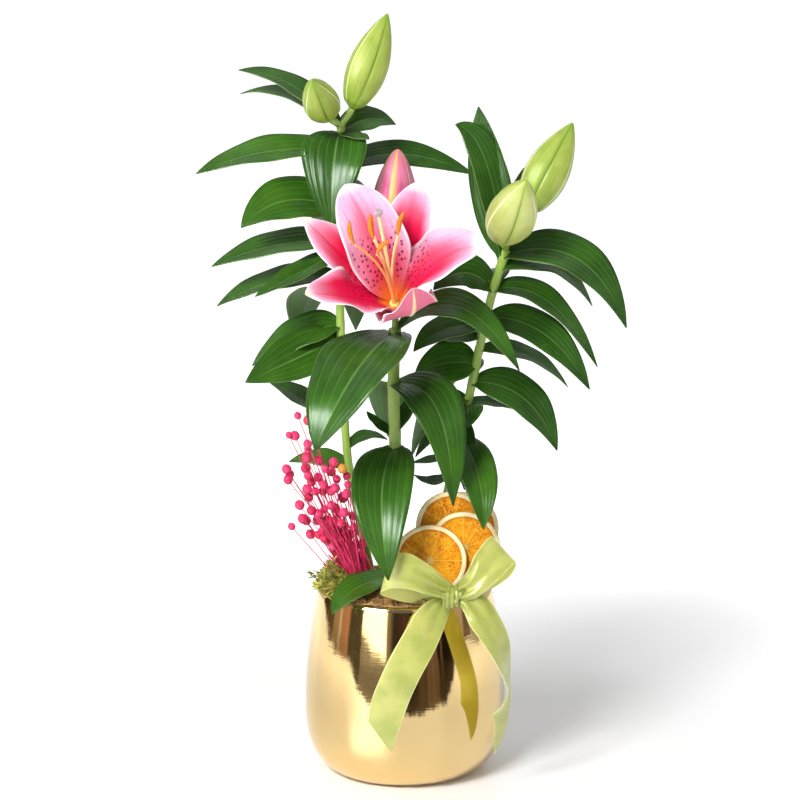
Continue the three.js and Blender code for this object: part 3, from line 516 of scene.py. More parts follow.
def spline(points, t):
    """Points along a smooth curve through the given points. Between two of them it is a cubic whose
    slopes there come from both neighbours, weighted by the roots of the distances."""
    p = np.asarray(points, float)
    p = np.vstack([2 * p[0] - p[1], p, 2 * p[-1] - p[-2]])
    t = np.asarray(t, float) * (len(p) - 3)
    i = np.clip(t.astype(int), 0, len(p) - 4)
    w = (t - i)[:, None]
    a, b, c, d = (p[i + k] for k in range(4))
    ab, bc, cd = (np.linalg.norm(v, axis=1)[:, None] ** 0.5 + 1e-9 for v in (b - a, c - b, d - c))
    start = ((b - a) / ab - (c - a) / (ab + bc) + (c - b) / bc) * bc
    end = ((c - b) / bc - (d - b) / (bc + cd) + (d - c) / cd) * bc
    return b + start * w + (3 * c - 3 * b - 2 * start - end) * w**2 + (2 * b - 2 * c + start + end) * w**3


def curve(t, *corners):
    """Points of a curve from the first corner to the last one, drawn toward those between: each two
    neighbours are blended by t, then each two of the results, until one is left."""
    while len(corners) > 1:
        corners = [(1 - t) * a + t * b for a, b in zip(corners, corners[1:])]
    return corners[0]


def tube(path, radii, sides):
    """A round tube along a path. Its rings are carried from point to point without turning about the
    path, and narrow to a point at both ends."""
    path = np.asarray(path, float)
    ahead = unit(np.gradient(path, axis=0))
    across = np.empty_like(path)
    side = np.cross(ahead[0], [0.0, 1.0, 0.001])
    for i, way in enumerate(ahead):
        side = unit(side - way * side.dot(way))
        across[i] = side
    ring = turned(full_turn(sides), across[:, None], np.cross(ahead, across)[:, None])
    radii = np.broadcast_to(np.asarray(radii, float), len(path))
    points = (path[:, None] + radii[:, None, None] * ring).reshape(-1, 3)
    along = np.repeat(np.linspace(0, 1, len(path)), sides)
    uv = np.stack([np.tile(np.arange(sides) / sides, len(path)), along], -1)
    faces = capped_faces(len(path), sides)
    return np.vstack([points, path[0], path[-1]]), faces, np.vstack([uv, [0, 0], [0, 1]])


def shell(middle, normal, thickness, uv):
    """A closed thin blade about a grid of points: its upper and under side lie half the thickness to
    each side along the normals, and a rim joins them. The last result tells the under side."""
    rows, columns = middle.shape[:2]
    half = thickness / 2 * normal
    upper = (middle + half).reshape(-1, 3)
    under = (middle - half).reshape(-1, 3)
    count = len(upper)
    faces = grid_faces(rows, columns).tolist()
    faces += grid_faces(rows, columns, count)[:, ::-1].tolist()
    rim = list(range(columns))
    rim += [i * columns + columns - 1 for i in range(1, rows)]
    rim += [(rows - 1) * columns + j for j in range(columns - 2, -1, -1)]
    rim += [i * columns for i in range(rows - 2, 0, -1)]
    faces += [[b, a, a + count, b + count] for a, b in zip(rim, rim[1:] + rim[:1])]
    flat_uv = uv.reshape(-1, 2)
    side = np.repeat([0.0, 1.0], count)
    return np.vstack([upper, under]), faces, np.vstack([flat_uv, flat_uv]), side


def leaf(stem, row, chance):
    """A lily leaf. Its midrib is a parabola in the upright plane of its heading, bowed sideways by
    the sway. Its half width is t to the 0.6 times 1 - t to the 0.9, its section a shallow open V
    with a groove along the midrib, and its margins wave a little."""
    height, heading, mid_reach, mid_rise, tip_reach, tip_rise, width, roll, *turns = row
    twist, sway = (turns + [0, 0])[:2]
    start = np.array([np.interp(height / 1000, stem[:, 2], stem[:, k]) for k in range(3)])
    out = np.array([np.cos(np.radians(heading)), np.sin(np.radians(heading)), 0])
    level = np.cross(out, [0, 0, 1])
    reach = np.array([2 * mid_reach - tip_reach / 2, tip_reach]) / 1000
    rise = np.array([2 * mid_rise - tip_rise / 2, tip_rise]) / 1000
    knee, tip = (start + r * out + [0, 0, z] for r, z in zip(reach, rise))
    t = np.linspace(0, 1, LEAF_ROWS)[:, None]
    midrib = curve(t, start, knee, tip)
    slope = unit(curve(t, knee - start, tip - knee))
    midrib = midrib + level * (sway / 1000 * 4 * t * (1 - t))
    face = np.cross(level, slope)
    turn = np.radians(roll + twist * t)
    side = level * np.cos(turn) + face * np.sin(turn)
    face = face * np.cos(turn) - level * np.sin(turn)
    swell = t**0.6 * (1 - t) ** 0.9 / (0.4**0.6 * 0.6**0.9)
    base = 0.25 * np.clip(1 - t / 0.3, 0, 1)
    half = width / 2000 * np.maximum(swell, base + 0.02)
    c = np.linspace(-1, 1, LEAF_COLUMNS)[None, :, None]
    lift = LEAF_FOLD * np.abs(c) ** 1.25 - 0.05 * np.exp(-((c / 0.12) ** 2))
    wave = 2 * np.pi * (2.2 * t[:, None] + chance) + 1.5 * np.sign(c)
    lift = lift + 0.05 * c**2 * np.sin(wave) * np.sin(np.pi * t[:, None])
    middle = midrib[:, None] + (side[:, None] * c + face[:, None] * lift) * half[:, None]
    uv = np.stack(np.broadcast_arrays(0.5 + 0.5 * c[..., 0], t), -1)
    normal = np.broadcast_to(face[:, None], middle.shape)
    points, faces, flat_uv, under = shell(middle, normal, LEAF_THICKNESS, uv)
    return points, faces, flat_uv, under, np.full(len(points), chance)


def stalk(stem, base, axis):
    """A flower stalk: a curve from near the stem's top, which it leaves along the stem, to the
    flower's base, which it meets along the flower's axis."""
    start = stem[-2]
    reach = np.linalg.norm(base - start)
    first = start + unit(stem[-1] - stem[-3]) * reach * 0.4
    second = base - axis * reach * 0.45
    t = np.linspace(0, 1, 20)[:, None]
    radii = PEDICEL_RADIUS * (1 + 0.7 * np.clip(t[:, 0] - 0.75, 0, 1))
    return tube(curve(t, start, first, second, base) - axis * 0.0003, radii, 14)


def uv_axes(tree):
    """The two UV coordinates of the surface: the first runs across a piece, the second along it."""
    return node(tree, "SeparateXYZ", {0: node(tree, "TexCoord").outputs["UV"]}).outputs[:2]


def translucent(weight, radius, scale):
    """Shader inputs that let light in under the skin: how much, and how far each colour goes."""
    return {"Subsurface Weight": weight, "Subsurface Radius": radius, "Subsurface Scale": scale}


leaf_material, tree, shader = new_material("lily_leaf")
crosswise, lengthwise = uv_axes(tree)
shade = carried(tree, "shade")
under = carried(tree, "under")
away = maths(tree, "ABSOLUTE", times(tree, crosswise, 2.0, -1.0))
bands = maths(tree, "PINGPONG", times(tree, crosswise, 8.0), 0.5)
vein = smooth_step(tree, bands, 0.06, 0.0)
midrib = smooth_step(tree, away, 0.045, 0.015)
fine = noise(tree, 1.0, 2.0, stretch=(70, 1.5, 1), source="UV")
patches = noise(tree, 38.0)
dark = blend(tree, shade, (0.013, 0.05, 0.003), (0.023, 0.088, 0.003))
light = blend(tree, shade, (0.026, 0.088, 0.006), (0.045, 0.138, 0.005))
green = blend(tree, smooth_step(tree, patches, 0.35, 0.7), dark, light)
green = blend(tree, fine, green, (0.035, 0.12, 0.02), 0.3)
lines = maths(tree, "MAXIMUM", times(tree, vein, 0.4), times(tree, midrib, 0.5))
ends = times(tree, lines, smooth_step(tree, lengthwise, 1.0, 0.75))
green = blend(tree, ends, green, (0.16, 0.28, 0.07))
edge = times(tree, smooth_step(tree, away, 0.965, 1.0), 0.6)
green = blend(tree, edge, green, (0.13, 0.2, 0.05))
pale = blend(tree, ends, (0.09, 0.17, 0.06), (0.2, 0.3, 0.12))
grooves = times(tree, bands, 0.8, times(tree, fine, 0.35))
sheen = times(tree, noise(tree, 60.0), 0.2, 0.13)
fill(tree, shader, {
    "Base Color": blend(tree, under, green, pale),
    "Roughness": times(tree, under, 0.2, sheen),
    "Specular IOR Level": 0.27,
    "Normal": bump(tree, grooves, 0.7, 0.0006),
    **translucent(0.08, (0.3, 0.8, 0.2), 0.001),
})

stem_material, tree, shader = new_material("lily_stem")
streaks = noise(tree, 700.0, stretch=(1, 1, 0.06))
shade = smooth_step(tree, noise(tree, 25.0), 0.35, 0.65)
green = blend(tree, shade, (0.3, 0.47, 0.065), (0.45, 0.61, 0.14))
green = blend(tree, streaks, green, (0.08, 0.17, 0.03), 0.5)
fill(tree, shader, {
    "Base Color": green,
    "Roughness": 0.42,
    "Normal": bump(tree, streaks, 0.5, 0.0003),
    **translucent(0.1, (0.4, 0.8, 0.2), 0.001),
})

chances = np.random.default_rng(11)
along = np.linspace(0, 1, STEM_STEPS)
stems = {side: spline(np.array(points) / 1000, along) for side, points in STEM_POINTS.items()}
for side, stem in stems.items():
    joints = [row[0] / 1000 for row in LEAVES[side]]
    near = np.min(np.abs(stem[:, 2][:, None] - np.array(joints)[None]), axis=1)
    radii = STEM_RADIUS[side] * (1 + 0.1 * np.exp(-((near / 0.0025) ** 2)))
    rods = [tube(stem, radii, STEM_SIDES)]
    for name, (carrier, base, tip, _, _) in BUD_PLACES.items():
        if carrier == side:
            base, tip = np.array(base) / 1000, np.array(tip) / 1000
            rods.append(stalk(stem, base, unit(tip - base)))
    if side == "middle":
        rods.append(stalk(stem, BLOOM_BASE, BLOOM_AXIS))
    rods = [valued(part, 0, 0) for part in rods]
    blades = [leaf(stem, row, chances.random()) for row in LEAVES[side]]
    points, faces, uvs, under, shade = gathered([*rods, *blades])
    slots = np.ones(len(faces), int)
    slots[: sum(len(part[1]) for part in rods)] = 0
    values = {"under": under, "shade": shade}
    plant = make_piece("plant_" + side, points, faces, [stem_material, leaf_material], uvs, values, slots)
    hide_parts("stem_" + side)
    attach(plant, "root")

# The buds: each is six tepals still closed to a spindle. The seams of the three outer ones run from
# the tip to the stalk. Four are yellow-green; the one behind the bloom is pink with a yellow rib.
BUD_LOBES = 0.05
BUD_BASE_RADIUS = 0.0026
BUD_ROWS = 60
BUD_SIDES = 72


def across_axis(axis):
    """Two directions across an axis and across each other, the first one level if the axis leans."""
    first = unit(np.cross([0, 0, 1.0] if abs(axis[2]) < 0.9 else [1.0, 0, 0], axis))
    return first, np.cross(axis, first)


def bud(base, tip, radius, fullness, turn):
    """A spindle whose radius is the sine of pi times (0.06 + 0.94 t) to the 0.85, to the power of its
    fullness. Its section has three low lobes. Narrow seams between them face the front, but for the
    turn, and each lobe has a low rib."""
    base, tip = np.array(base) / 1000, np.array(tip) / 1000
    length = np.linalg.norm(tip - base)
    axis = (tip - base) / length
    first, second = across_axis(axis)
    t = 1 - (1 - np.linspace(0, 0.995, BUD_ROWS)) ** 1.25
    front = np.arctan2(-second[1], -first[1]) + turn
    angle = front + 2 * np.pi / 3 + full_turn(BUD_SIDES)
    swell = np.sin(np.pi * (0.06 + 0.94 * t) ** 0.85) ** fullness * np.clip(t / 0.05, 0.05, 1) ** 0.4
    swell = np.maximum(radius / 1000 * swell, np.where(t < 0.3, BUD_BASE_RADIUS, 0.0))
    third = np.mod(angle - front + np.pi / 3, 2 * np.pi / 3) - np.pi / 3
    seam = -0.05 * np.exp(-((third / 0.06) ** 2)) + 0.012 * np.exp(-(((third - 0.16) / 0.08) ** 2))
    rib = 0.02 * np.exp(-(((np.abs(third) - np.pi / 3) / 0.08) ** 2))
    section = 1 - BUD_LOBES * np.cos(3 * (angle - front)) + seam + rib
    fade = np.sin(np.pi * np.clip(t, 0, 1))[:, None] ** 0.3
    reach = swell[:, None] * (1 + (section - 1)[None] * fade)
    ring = turned(angle, first, second)
    points = base + axis * (t * length)[:, None, None] + reach[..., None] * ring[None]
    around = np.broadcast_to(np.abs(third) / (np.pi / 3), (BUD_ROWS, BUD_SIDES)).ravel()
    uv = np.stack([np.tile(np.arange(BUD_SIDES) / 12, BUD_ROWS), np.repeat(t, BUD_SIDES)], -1)
    points = np.vstack([points.reshape(-1, 3), base, tip])
    uv = np.vstack([uv, [0, 0], [0, 1]])
    return points, capped_faces(BUD_ROWS, BUD_SIDES), uv, np.append(around, [0.5, 0.5])


def bud_material(name, pale, deep, tips, seam_colour, rib_colour, rib_width):
    """The skin of a bud: streaks along it from pale to deep, deeper at both ends, thin lines in the
    seams and a rib down the middle of each tepal."""
    material, tree, shader = new_material(name)
    _, lengthwise = uv_axes(tree)
    around = carried(tree, "around")
    streaks = noise(tree, 1.0, 4.0, 0.6, stretch=(16, 2.2, 1), source="UV")
    clouds = noise(tree, 75.0, 2.0)
    mixed = times(tree, streaks, 0.6, times(tree, clouds, 0.5))
    skin = blend(tree, smooth_step(tree, mixed, 0.38, 0.75), pale, deep)
    low = smooth_step(tree, lengthwise, 0.2, 0.0)
    high = smooth_step(tree, lengthwise, 0.8, 1.0)
    skin = blend(tree, maths(tree, "MAXIMUM", low, high), skin, tips, 0.8)
    beside = smooth_step(tree, around, 0.22, 0.08)
    skin = blend(tree, beside, skin, tips, 0.45)
    rib = smooth_step(tree, around, 1 - rib_width, 1 - rib_width * 0.5)
    skin = blend(tree, rib, skin, rib_colour, 0.85)
    seam = smooth_step(tree, around, 0.055, 0.02)
    skin = blend(tree, seam, skin, seam_colour, 0.8)
    fill(tree, shader, {
        "Base Color": skin,
        "Roughness": 0.38,
        "Normal": bump(tree, streaks, 0.5, 0.0006),
        **translucent(0.12, (0.6, 1.0, 0.3), 0.0015),
    })
    return material


green_skin = bud_material("green_bud", (0.35, 0.42, 0.08), (0.2, 0.3, 0.024), (0.19, 0.33, 0.02),
                          (0.08, 0.13, 0.015), (0.7, 0.8, 0.36), 0.05)
pale_skin = bud_material("pale_bud", (0.5, 0.53, 0.18), (0.39, 0.45, 0.1), (0.3, 0.42, 0.05),
                         (0.13, 0.2, 0.02), (0.85, 0.9, 0.5), 0.05)
pink_skin = bud_material("pink_bud", (0.78, 0.25, 0.39), (0.58, 0.08, 0.2), (0.62, 0.2, 0.2),
                         (0.95, 0.72, 0.5), (0.88, 0.5, 0.12), 0.19)
BUD_SKINS = {
    "bud_left_tall": (green_skin, "bud_green", 0.25),
    "bud_left_short": (green_skin, "bud_green", 0.05),
    "bud_middle_pink": (pink_skin, "bud_pink", np.pi / 3 - 0.12),
    "bud_right_front": (pale_skin, "bud_green", 0.2),
    "bud_right_tall": (green_skin, "bud_green", -0.15),
}
for name, (material, slot, turn) in BUD_SKINS.items():
    points, faces, uv, around = bud(*BUD_PLACES[name][1:], turn)
    made = make_piece(name + "_skin", points, faces, [material], uv, {"around": around})
    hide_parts(name)
    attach(made, "root")

# The open bloom: six waxy tepals from one short tube, broad inner and narrower outer ones, pink with
# white margins, a crimson middle and dark raised spots. They grow from the middle stem's stalk.
# Each tepal, with lengths in millimetres: its tip from the bloom's base, its width, how far it climbs
# in the tube, the height from its tip's and the share of its spread at which it bends over, how sharp
# its tip is, the depth and lean of its crimson and how much its margins wave
TEPALS = [
    ((-34, -2, 85), 45, 26, 4, 0.45, 0.65, 0.4, 0.0, 0.05),
    ((16, 18, 85), 38, 10, -8, 0.7, 0.75, 1.0, 0.0, 0.04),
    ((60, -47, 49), 50, 20, 2, 0.55, 0.65, 0.85, 0.4, 0.05),
    ((12, -73, 23), 42, 13, -48, 1, 0.6, 0.9, 0.0, 0.1),
    ((-60, -58, 17), 44, 12, -14, 0.62, 0.85, 1.0, 0.2, 0.09),
    ((-63, -10, 63), 36, 10, -18, 0.68, 0.9, 1.0, 0.2, 0.05),
]
TEPAL_THICKNESS = 0.0006
TEPAL_ROWS = 53
TEPAL_COLUMNS = 25
# The short tube in the bloom's throat: distances up from its base and the radii there
THROAT = [(0, 0.003), (0.003, 0.0038), (0.0045, 0.0034)]


def tepal(tip, width, rise, arch, reach, point, depth, lean, wave, number):
    """A tepal. Its midrib is a curve from the tube that first climbs and then bends over to the tip.
    Its half width is the sine of pi t to the 0.85, and past the middle one less the square of 2t - 1,
    to the power of its point. It is cupped by the square of the distance across, has a groove along
    the midrib, and its margins wave and turn back at the tip. Its crimson is deeper on the side it
    leans to."""
    offset = np.array(tip) / 1000
    height = offset @ BLOOM_AXIS
    radial = offset - height * BLOOM_AXIS
    spread = np.linalg.norm(radial)
    radial = radial / spread
    corners = [(0.003, 0.0036), (rise / 1000, 0.009), (height + arch / 1000, spread * reach),
               (height, spread)]
    a, b, c, d = (BLOOM_BASE + BLOOM_AXIS * along + radial * out for along, out in corners)
    t = 1 - (1 - np.linspace(0, 1, TEPAL_ROWS)[:, None]) ** 1.5
    midrib = curve(t, a, b, c, d)
    slope = unit(curve(t, b - a, c - b, d - c))
    side = unit(np.cross(radial, BLOOM_AXIS))
    face = np.cross(side, slope)
    tapered = np.clip(1 - (2 * t - 1) ** 2, 0, 1) ** point
    shape = np.where(t < 0.5, np.sin(np.pi * t) ** 0.85, tapered)
    half = width / 2000 * np.maximum(shape, np.where(t < 0.5, 0.16, 0.02))
    across = np.linspace(-1, 1, TEPAL_COLUMNS)[None, :]
    lift = 0.28 * across**2 - 0.07 * np.exp(-((across / 0.09) ** 2))
    lift = lift - 0.3 * across**4 * np.clip((t - 0.55) / 0.45, 0, 1)
    waves = np.sin(2 * np.pi * (2.6 * t + 0.37 * number) + 1.3 * np.sign(across))
    lift = lift + wave * 2 * np.abs(across) ** 3 * waves * np.sin(np.pi * t)
    middle = midrib[:, None] + (side * across[..., None] + face[:, None] * lift[..., None]) * half[:, None]
    along, wide = np.broadcast_arrays(t, across)
    uv = np.stack([wide * half * 100 + 7 * number, along * 9.5], -1)
    normal = np.broadcast_to(face[:, None], middle.shape)
    points, faces, flat_uv, under = shell(middle, normal, TEPAL_THICKNESS, uv)
    twice = [np.tile(v.ravel(), 2) for v in (along, np.abs(wide))]
    deep = np.clip(depth + lean * wide, 0.1, 1.2)
    return points, faces, flat_uv, under, *twice, np.tile(deep.ravel(), 2)


bloom_material, tree, shader = new_material("bloom")
under, along, across, depth = (carried(tree, key) for key in ("under", "along", "across", "depth"))
veins = noise(tree, 1.0, 4.0, 0.6, stretch=(9, 0.5, 1), source="UV")
clouds = noise(tree, 55.0, 2.0)
soft = times(tree, clouds, 0.3, times(tree, depth, -0.45, across))
soft = maths(tree, "ADD", soft, 0.15)
ripe = times(tree, soft, 0.45, along)
pink = blend(tree, smooth_step(tree, ripe, 0.35, 1.15), (0.76, 0.1, 0.18), (0.76, 0.45, 0.64))
pink = blend(tree, smooth_step(tree, veins, 0.45, 0.7), pink, (0.8, 0.08, 0.24), 0.4)
middle = times(tree, smooth_step(tree, soft, 0.85, 0.3), smooth_step(tree, along, 1.0, 0.6))
crimson = blend(tree, clouds, (0.6, 0.0, 0.025), (0.73, 0.009, 0.09))
inner = blend(tree, times(tree, middle, depth), pink, crimson)
groove = smooth_step(tree, across, 0.07, 0.01)
groove = times(tree, groove, smooth_step(tree, along, 0.95, 0.6))
inner = blend(tree, groove, inner, (0.5, 0.01, 0.06), 0.5)
margin = smooth_step(tree, times(tree, veins, 0.06, across), 0.92, 1.0)
tip = smooth_step(tree, times(tree, veins, 0.05, along), 0.9, 1.0)
edge = maths(tree, "MAXIMUM", margin, tip)
edge = times(tree, edge, smooth_step(tree, along, 0.12, 0.35))
inner = blend(tree, edge, inner, (0.84, 0.77, 0.76))
inner = blend(tree, smooth_step(tree, along, 0.93, 1.0), inner, (0.76, 0.82, 0.6))
where = place(tree, (1, 0.8, 1), "UV")
inputs = {"Vector": where, "Scale": 2.7, "Randomness": 0.8}
cells = node(tree, "TexVoronoi", inputs, voronoi_dimensions="2D")
spotted = smooth_step(tree, along, 0.12, 0.2)
spotted = times(tree, spotted, smooth_step(tree, along, 0.6, 0.5))
spotted = times(tree, spotted, smooth_step(tree, across, 0.88, 0.8))
spots = times(tree, smooth_step(tree, cells.outputs["Distance"], 0.25, 0.16), spotted)
inner = blend(tree, spots, inner, (0.17, 0.002, 0.05), 0.85)
throat = smooth_step(tree, times(tree, across, 0.08, along), 0.3, 0.08)
inner = blend(tree, throat, inner, (0.92, 0.33, 0.03), 0.9)
outer = blend(tree, veins, (0.72, 0.09, 0.2), (0.8, 0.26, 0.37))
outer = blend(tree, smooth_step(tree, across, 0.12, 0.06), outer, (0.88, 0.68, 0.4))
outer = blend(tree, smooth_step(tree, along, 0.3, 0.05), outer, (0.6, 0.64, 0.2))
outer = blend(tree, smooth_step(tree, across, 0.9, 1.0), outer, (0.86, 0.78, 0.74))
relief = times(tree, veins, 0.5, times(tree, spots, 0.8))
fill(tree, shader, {
    "Base Color": blend(tree, under, inner, outer),
    "Roughness": 0.5,
    "Specular IOR Level": 0.18,
    "Normal": bump(tree, relief, 0.8, 0.0006),
    **translucent(0.1, (1.0, 0.4, 0.5), 0.0012),
})

tepals = [tepal(*spec, number) for number, spec in enumerate(TEPALS)]
steps = np.linspace(0, THROAT[-1][0], 12)
radii = np.interp(steps, *np.array(THROAT).T)
throat = tube(BLOOM_BASE + np.outer(steps, BLOOM_AXIS), radii, 30)
points, faces, uv, *rest = gathered([*tepals, valued(throat, 1, 0, 0.5, 0)])
values = dict(zip(("under", "along", "across", "depth"), rest))
bloom = make_piece("bloom_petals", points, faces, [bloom_material], uv, values)
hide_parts("bloom_tepals")
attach(bloom, "root")

# The bloom's inner parts: six slender filaments and a stouter style stand in the throat. The style
# ends in a three-lobed grey stigma, and each filament carries an anther dusted with orange pollen.
# Each stamen: its filament's end from the bloom's base and the run of its anther, in millimetres
STAMENS = [
    ((-27, -47, 49), (-3, -3, 16)), ((-14, -45, 52), (-2, -2, 17)), ((2, -47, 55), (4, -3, 16)),
    ((-12, -59, 44), (8, -2, 9)), ((-14, -35, 53), (-1, -1, 13)), ((3, -37, 56), (3, -2, 13)),
]
# How orange each filament is
FILAMENT_TINTS = (0.9, 0.3, 0.15, 0.6, 0.3, 0.2)
STIGMA = (-11, -49, 70)
FILAMENT_RADIUS = 0.001
STYLE_RADIUS = 0.0013
ANTHER_RADIUS = 0.0017
FILAMENT_POINTS = 30
DISC_RADII = [0.0016, 0.0017, 0.0015, 0.0012]
# The stigma: distances up from the style's end and the radii there
STIGMA_PROFILE = [(-0.0018, 0.0012), (-0.0008, 0.0018), (0, 0.0025), (0.0011, 0.003), (0.002, 0.0029),
                  (0.0027, 0.0019), (0.0029, 0.0008)]
STIGMA_SIDES = 36
disc_foot = BLOOM_BASE + BLOOM_AXIS * 0.0048


def filament(tip):
    """A parabola that leaves the disc along the bloom's axis and ends at its tip."""
    start, end = disc_foot + BLOOM_AXIS * 0.001, BLOOM_BASE + np.array(tip) / 1000
    knee = start + BLOOM_AXIS * np.linalg.norm(end - start) * 0.55
    return curve(np.linspace(0, 1, FILAMENT_POINTS)[:, None], start, knee, end)


style_path = filament(STIGMA)
narrowing = np.linspace(1.25, 0.75, FILAMENT_POINTS) * FILAMENT_RADIUS
rods = [valued(tube(filament(tip), narrowing, 12), tint, 0)
        for (tip, _), tint in zip(STAMENS, FILAMENT_TINTS)]
rods.append(valued(tube(style_path, np.linspace(1.15, 0.9, FILAMENT_POINTS) * STYLE_RADIUS, 16), 0, 0))
disc_path = disc_foot + np.outer(np.linspace(0, 0.002, len(DISC_RADII)), BLOOM_AXIS)
rods.append(valued(tube(disc_path, DISC_RADII, 20), 1, 0))
stigma_axis = unit(style_path[-1] - style_path[-3])
angle = full_turn(STIGMA_SIDES)
lobes = 1 + 0.14 * np.cos(3 * angle)
ring = turned(angle, *across_axis(stigma_axis)) * lobes[:, None]
head = np.concatenate([style_path[-1] + stigma_axis * h + ring * r for h, r in STIGMA_PROFILE])
faces = grid_faces(len(STIGMA_PROFILE), STIGMA_SIDES, closed=True).tolist()
faces.append([len(head) - STIGMA_SIDES + j for j in range(STIGMA_SIDES)])
rods.append(valued((head, faces, np.zeros((len(head), 2))), 0, 1))

pistil_material, tree, shader = new_material("pistil")
_, lengthwise = uv_axes(tree)
tint_value = carried(tree, "tint")
grey_value = carried(tree, "grey")
grain = noise(tree, 500.0)
pale = blend(tree, tint_value, (0.86, 0.8, 0.36), (0.9, 0.36, 0.08))
low = smooth_step(tree, lengthwise, 0.6, 0.1)
pale = blend(tree, low, pale, (0.92, 0.78, 0.32), 0.8)
pale = blend(tree, grain, pale, (0.85, 0.6, 0.3), 0.25)
mauve = blend(tree, grain, (0.26, 0.22, 0.25), (0.48, 0.43, 0.44))
fill(tree, shader, {
    "Base Color": blend(tree, grey_value, pale, mauve),
    "Roughness": 0.4,
    "Normal": bump(tree, grain, 0.5, 0.0003),
})
points, faces, uvs, tint, grey = gathered(rods)
values = {"tint": tint, "grey": grey}
pistil = make_piece("pistil_and_filaments", points, faces, [pistil_material], uvs, values)
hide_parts("bloom_pistil_filaments")
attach(pistil, "root")


def anther(tip, run):
    """An anther: a slim, slightly bowed spindle that starts at its filament's end."""
    path = filament(tip)
    way = np.array(run) / 1000
    start = path[-1] + unit(path[-1] - path[-2]) * 0.0003 + unit(way) * 0.0003
    over = unit(np.cross(way, [0.3, 1.0, 0.0]))
    t = np.linspace(0, 1, 28)
    spine = start + way * t[:, None] + over * (0.0014 * np.sin(np.pi * t))[:, None]
    return tube(spine, ANTHER_RADIUS * np.clip(np.sin(np.pi * (0.04 + 0.92 * t)), 0, 1) ** 0.55, 16)


anther_material, tree, shader = new_material("anther_pollen")
pollen = noise(tree, 2600.0, 3.0, 0.7)
dusty = blend(tree, smooth_step(tree, pollen, 0.35, 0.65), (0.55, 0.11, 0.01), (0.9, 0.3, 0.015))
fill(tree, shader, {"Base Color": dusty, "Roughness": 0.85, "Normal": bump(tree, pollen, 0.9, 0.0006)})
points, faces, uvs = gathered([anther(*stamen) for stamen in STAMENS])
anthers = make_piece("anthers", points, faces, [anther_material], uvs)
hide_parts(*["anther_" + str(number) for number in range(1, 7)])
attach(anthers, "root")

# The flax: a bunch of dyed stalks set in the moss as one, which leans out to the left. It is tight and
# thick at its foot and opens into thin branches, each with a round seed head.
FLAX_FOOT = np.array([-0.020, -0.014, 0.116])
FLAX_LEAN = unit(np.array([-0.44, -0.1, 1.0]))
# Each head: how far right of the pot's axis, its height and its radius, in millimetres
FLAX_HEADS = [
    (-75, 263, 2.3), (-68, 259, 3.1), (-65, 252, 2.0), (-81, 250, 2.2), (-77, 249, 3.0), (-68, 244, 2.8),
    (-68, 239, 2.5), (-69, 233, 3.1), (-70, 224, 3.2), (-68, 220, 2.8), (-61, 230, 2.8), (-83, 225, 3.1),
    (-81, 221, 2.8), (-82, 218, 2.9), (-52, 222, 3.1), (-50, 230, 3.0), (-44, 225, 3.0), (-41, 219, 2.6),
    (-40, 215, 2.4), (-61, 218, 2.9), (-66, 214, 2.9), (-57, 214, 2.9), (-69, 209, 3.2), (-52, 209, 3.1),
    (-58, 207, 2.8), (-49, 212, 3.0), (-41, 208, 3.0), (-68, 203, 3.0), (-74, 200, 3.1), (-44, 202, 3.4),
    (-66, 195, 2.9), (-52, 198, 2.9), (-49, 195, 3.1), (-57, 195, 2.5), (-61, 192, 3.3), (-43, 194, 3.1),
    (-72, 189, 3.2), (-70, 186, 3.1), (-80, 183, 2.4), (-62, 185, 3.2), (-55, 186, 3.2), (-45, 186, 2.8),
    (-58, 179, 2.9), (-43, 180, 2.9), (-67, 175, 3.1), (-61, 175, 2.8), (-57, 174, 2.8), (-39, 176, 3.1),
    (-46, 175, 2.8), (-30, 169, 3.0), (-37, 166, 2.8), (-32, 154, 3.0), (-37, 189, 2.8), (-35, 198, 2.7),
    (-48, 217, 2.6), (-56, 226, 2.5), (-63, 208, 2.6), (-36, 182, 2.8), (-51, 168, 2.7), (-34, 207, 2.5),
]
ORANGE_HEAD = 16
STALK_COUNT = 150
STALK_POINTS = 16
STALK_SIDES = 5
HEAD_ROWS = 11
HEAD_SIDES = 20

draw = np.random.default_rng(23)


def flax_stalk(end, radius):
    """A stalk: a curve that leaves the bunch's foot along its lean and bends out to its end."""
    spot = draw.normal(0, 0.0026, 3) * [1, 1, 0]
    start = FLAX_FOOT + spot
    reach = np.linalg.norm(end - start)
    first = start + FLAX_LEAN * reach * 0.42 + spot * 1.2
    second = end - unit(end - start) * reach * 0.3
    path = curve(np.linspace(0, 1, STALK_POINTS)[:, None], start, first, second, end)
    return tube(path, radius * np.linspace(1.2, 0.75, STALK_POINTS), STALK_SIDES), path


def seed_head(centre, way, radius):
    """A seed head: a sphere, a little longer than wide, with five low ribs and a small point."""
    polar = np.linspace(0, np.pi, HEAD_ROWS + 2)[1:-1]
    angle = full_turn(HEAD_SIDES)
    rib = 1 + 0.02 * np.cos(5 * angle)
    ring = turned(angle, *across_axis(way)) * rib[:, None]
    rows = [centre + radius * (-1.06 * np.cos(p) * way + np.sin(p) * ring) for p in polar]
    points = np.vstack([*rows, centre - 1.06 * radius * way, centre + 1.22 * radius * way])
    return points, capped_faces(HEAD_ROWS, HEAD_SIDES), np.zeros((len(points), 2))


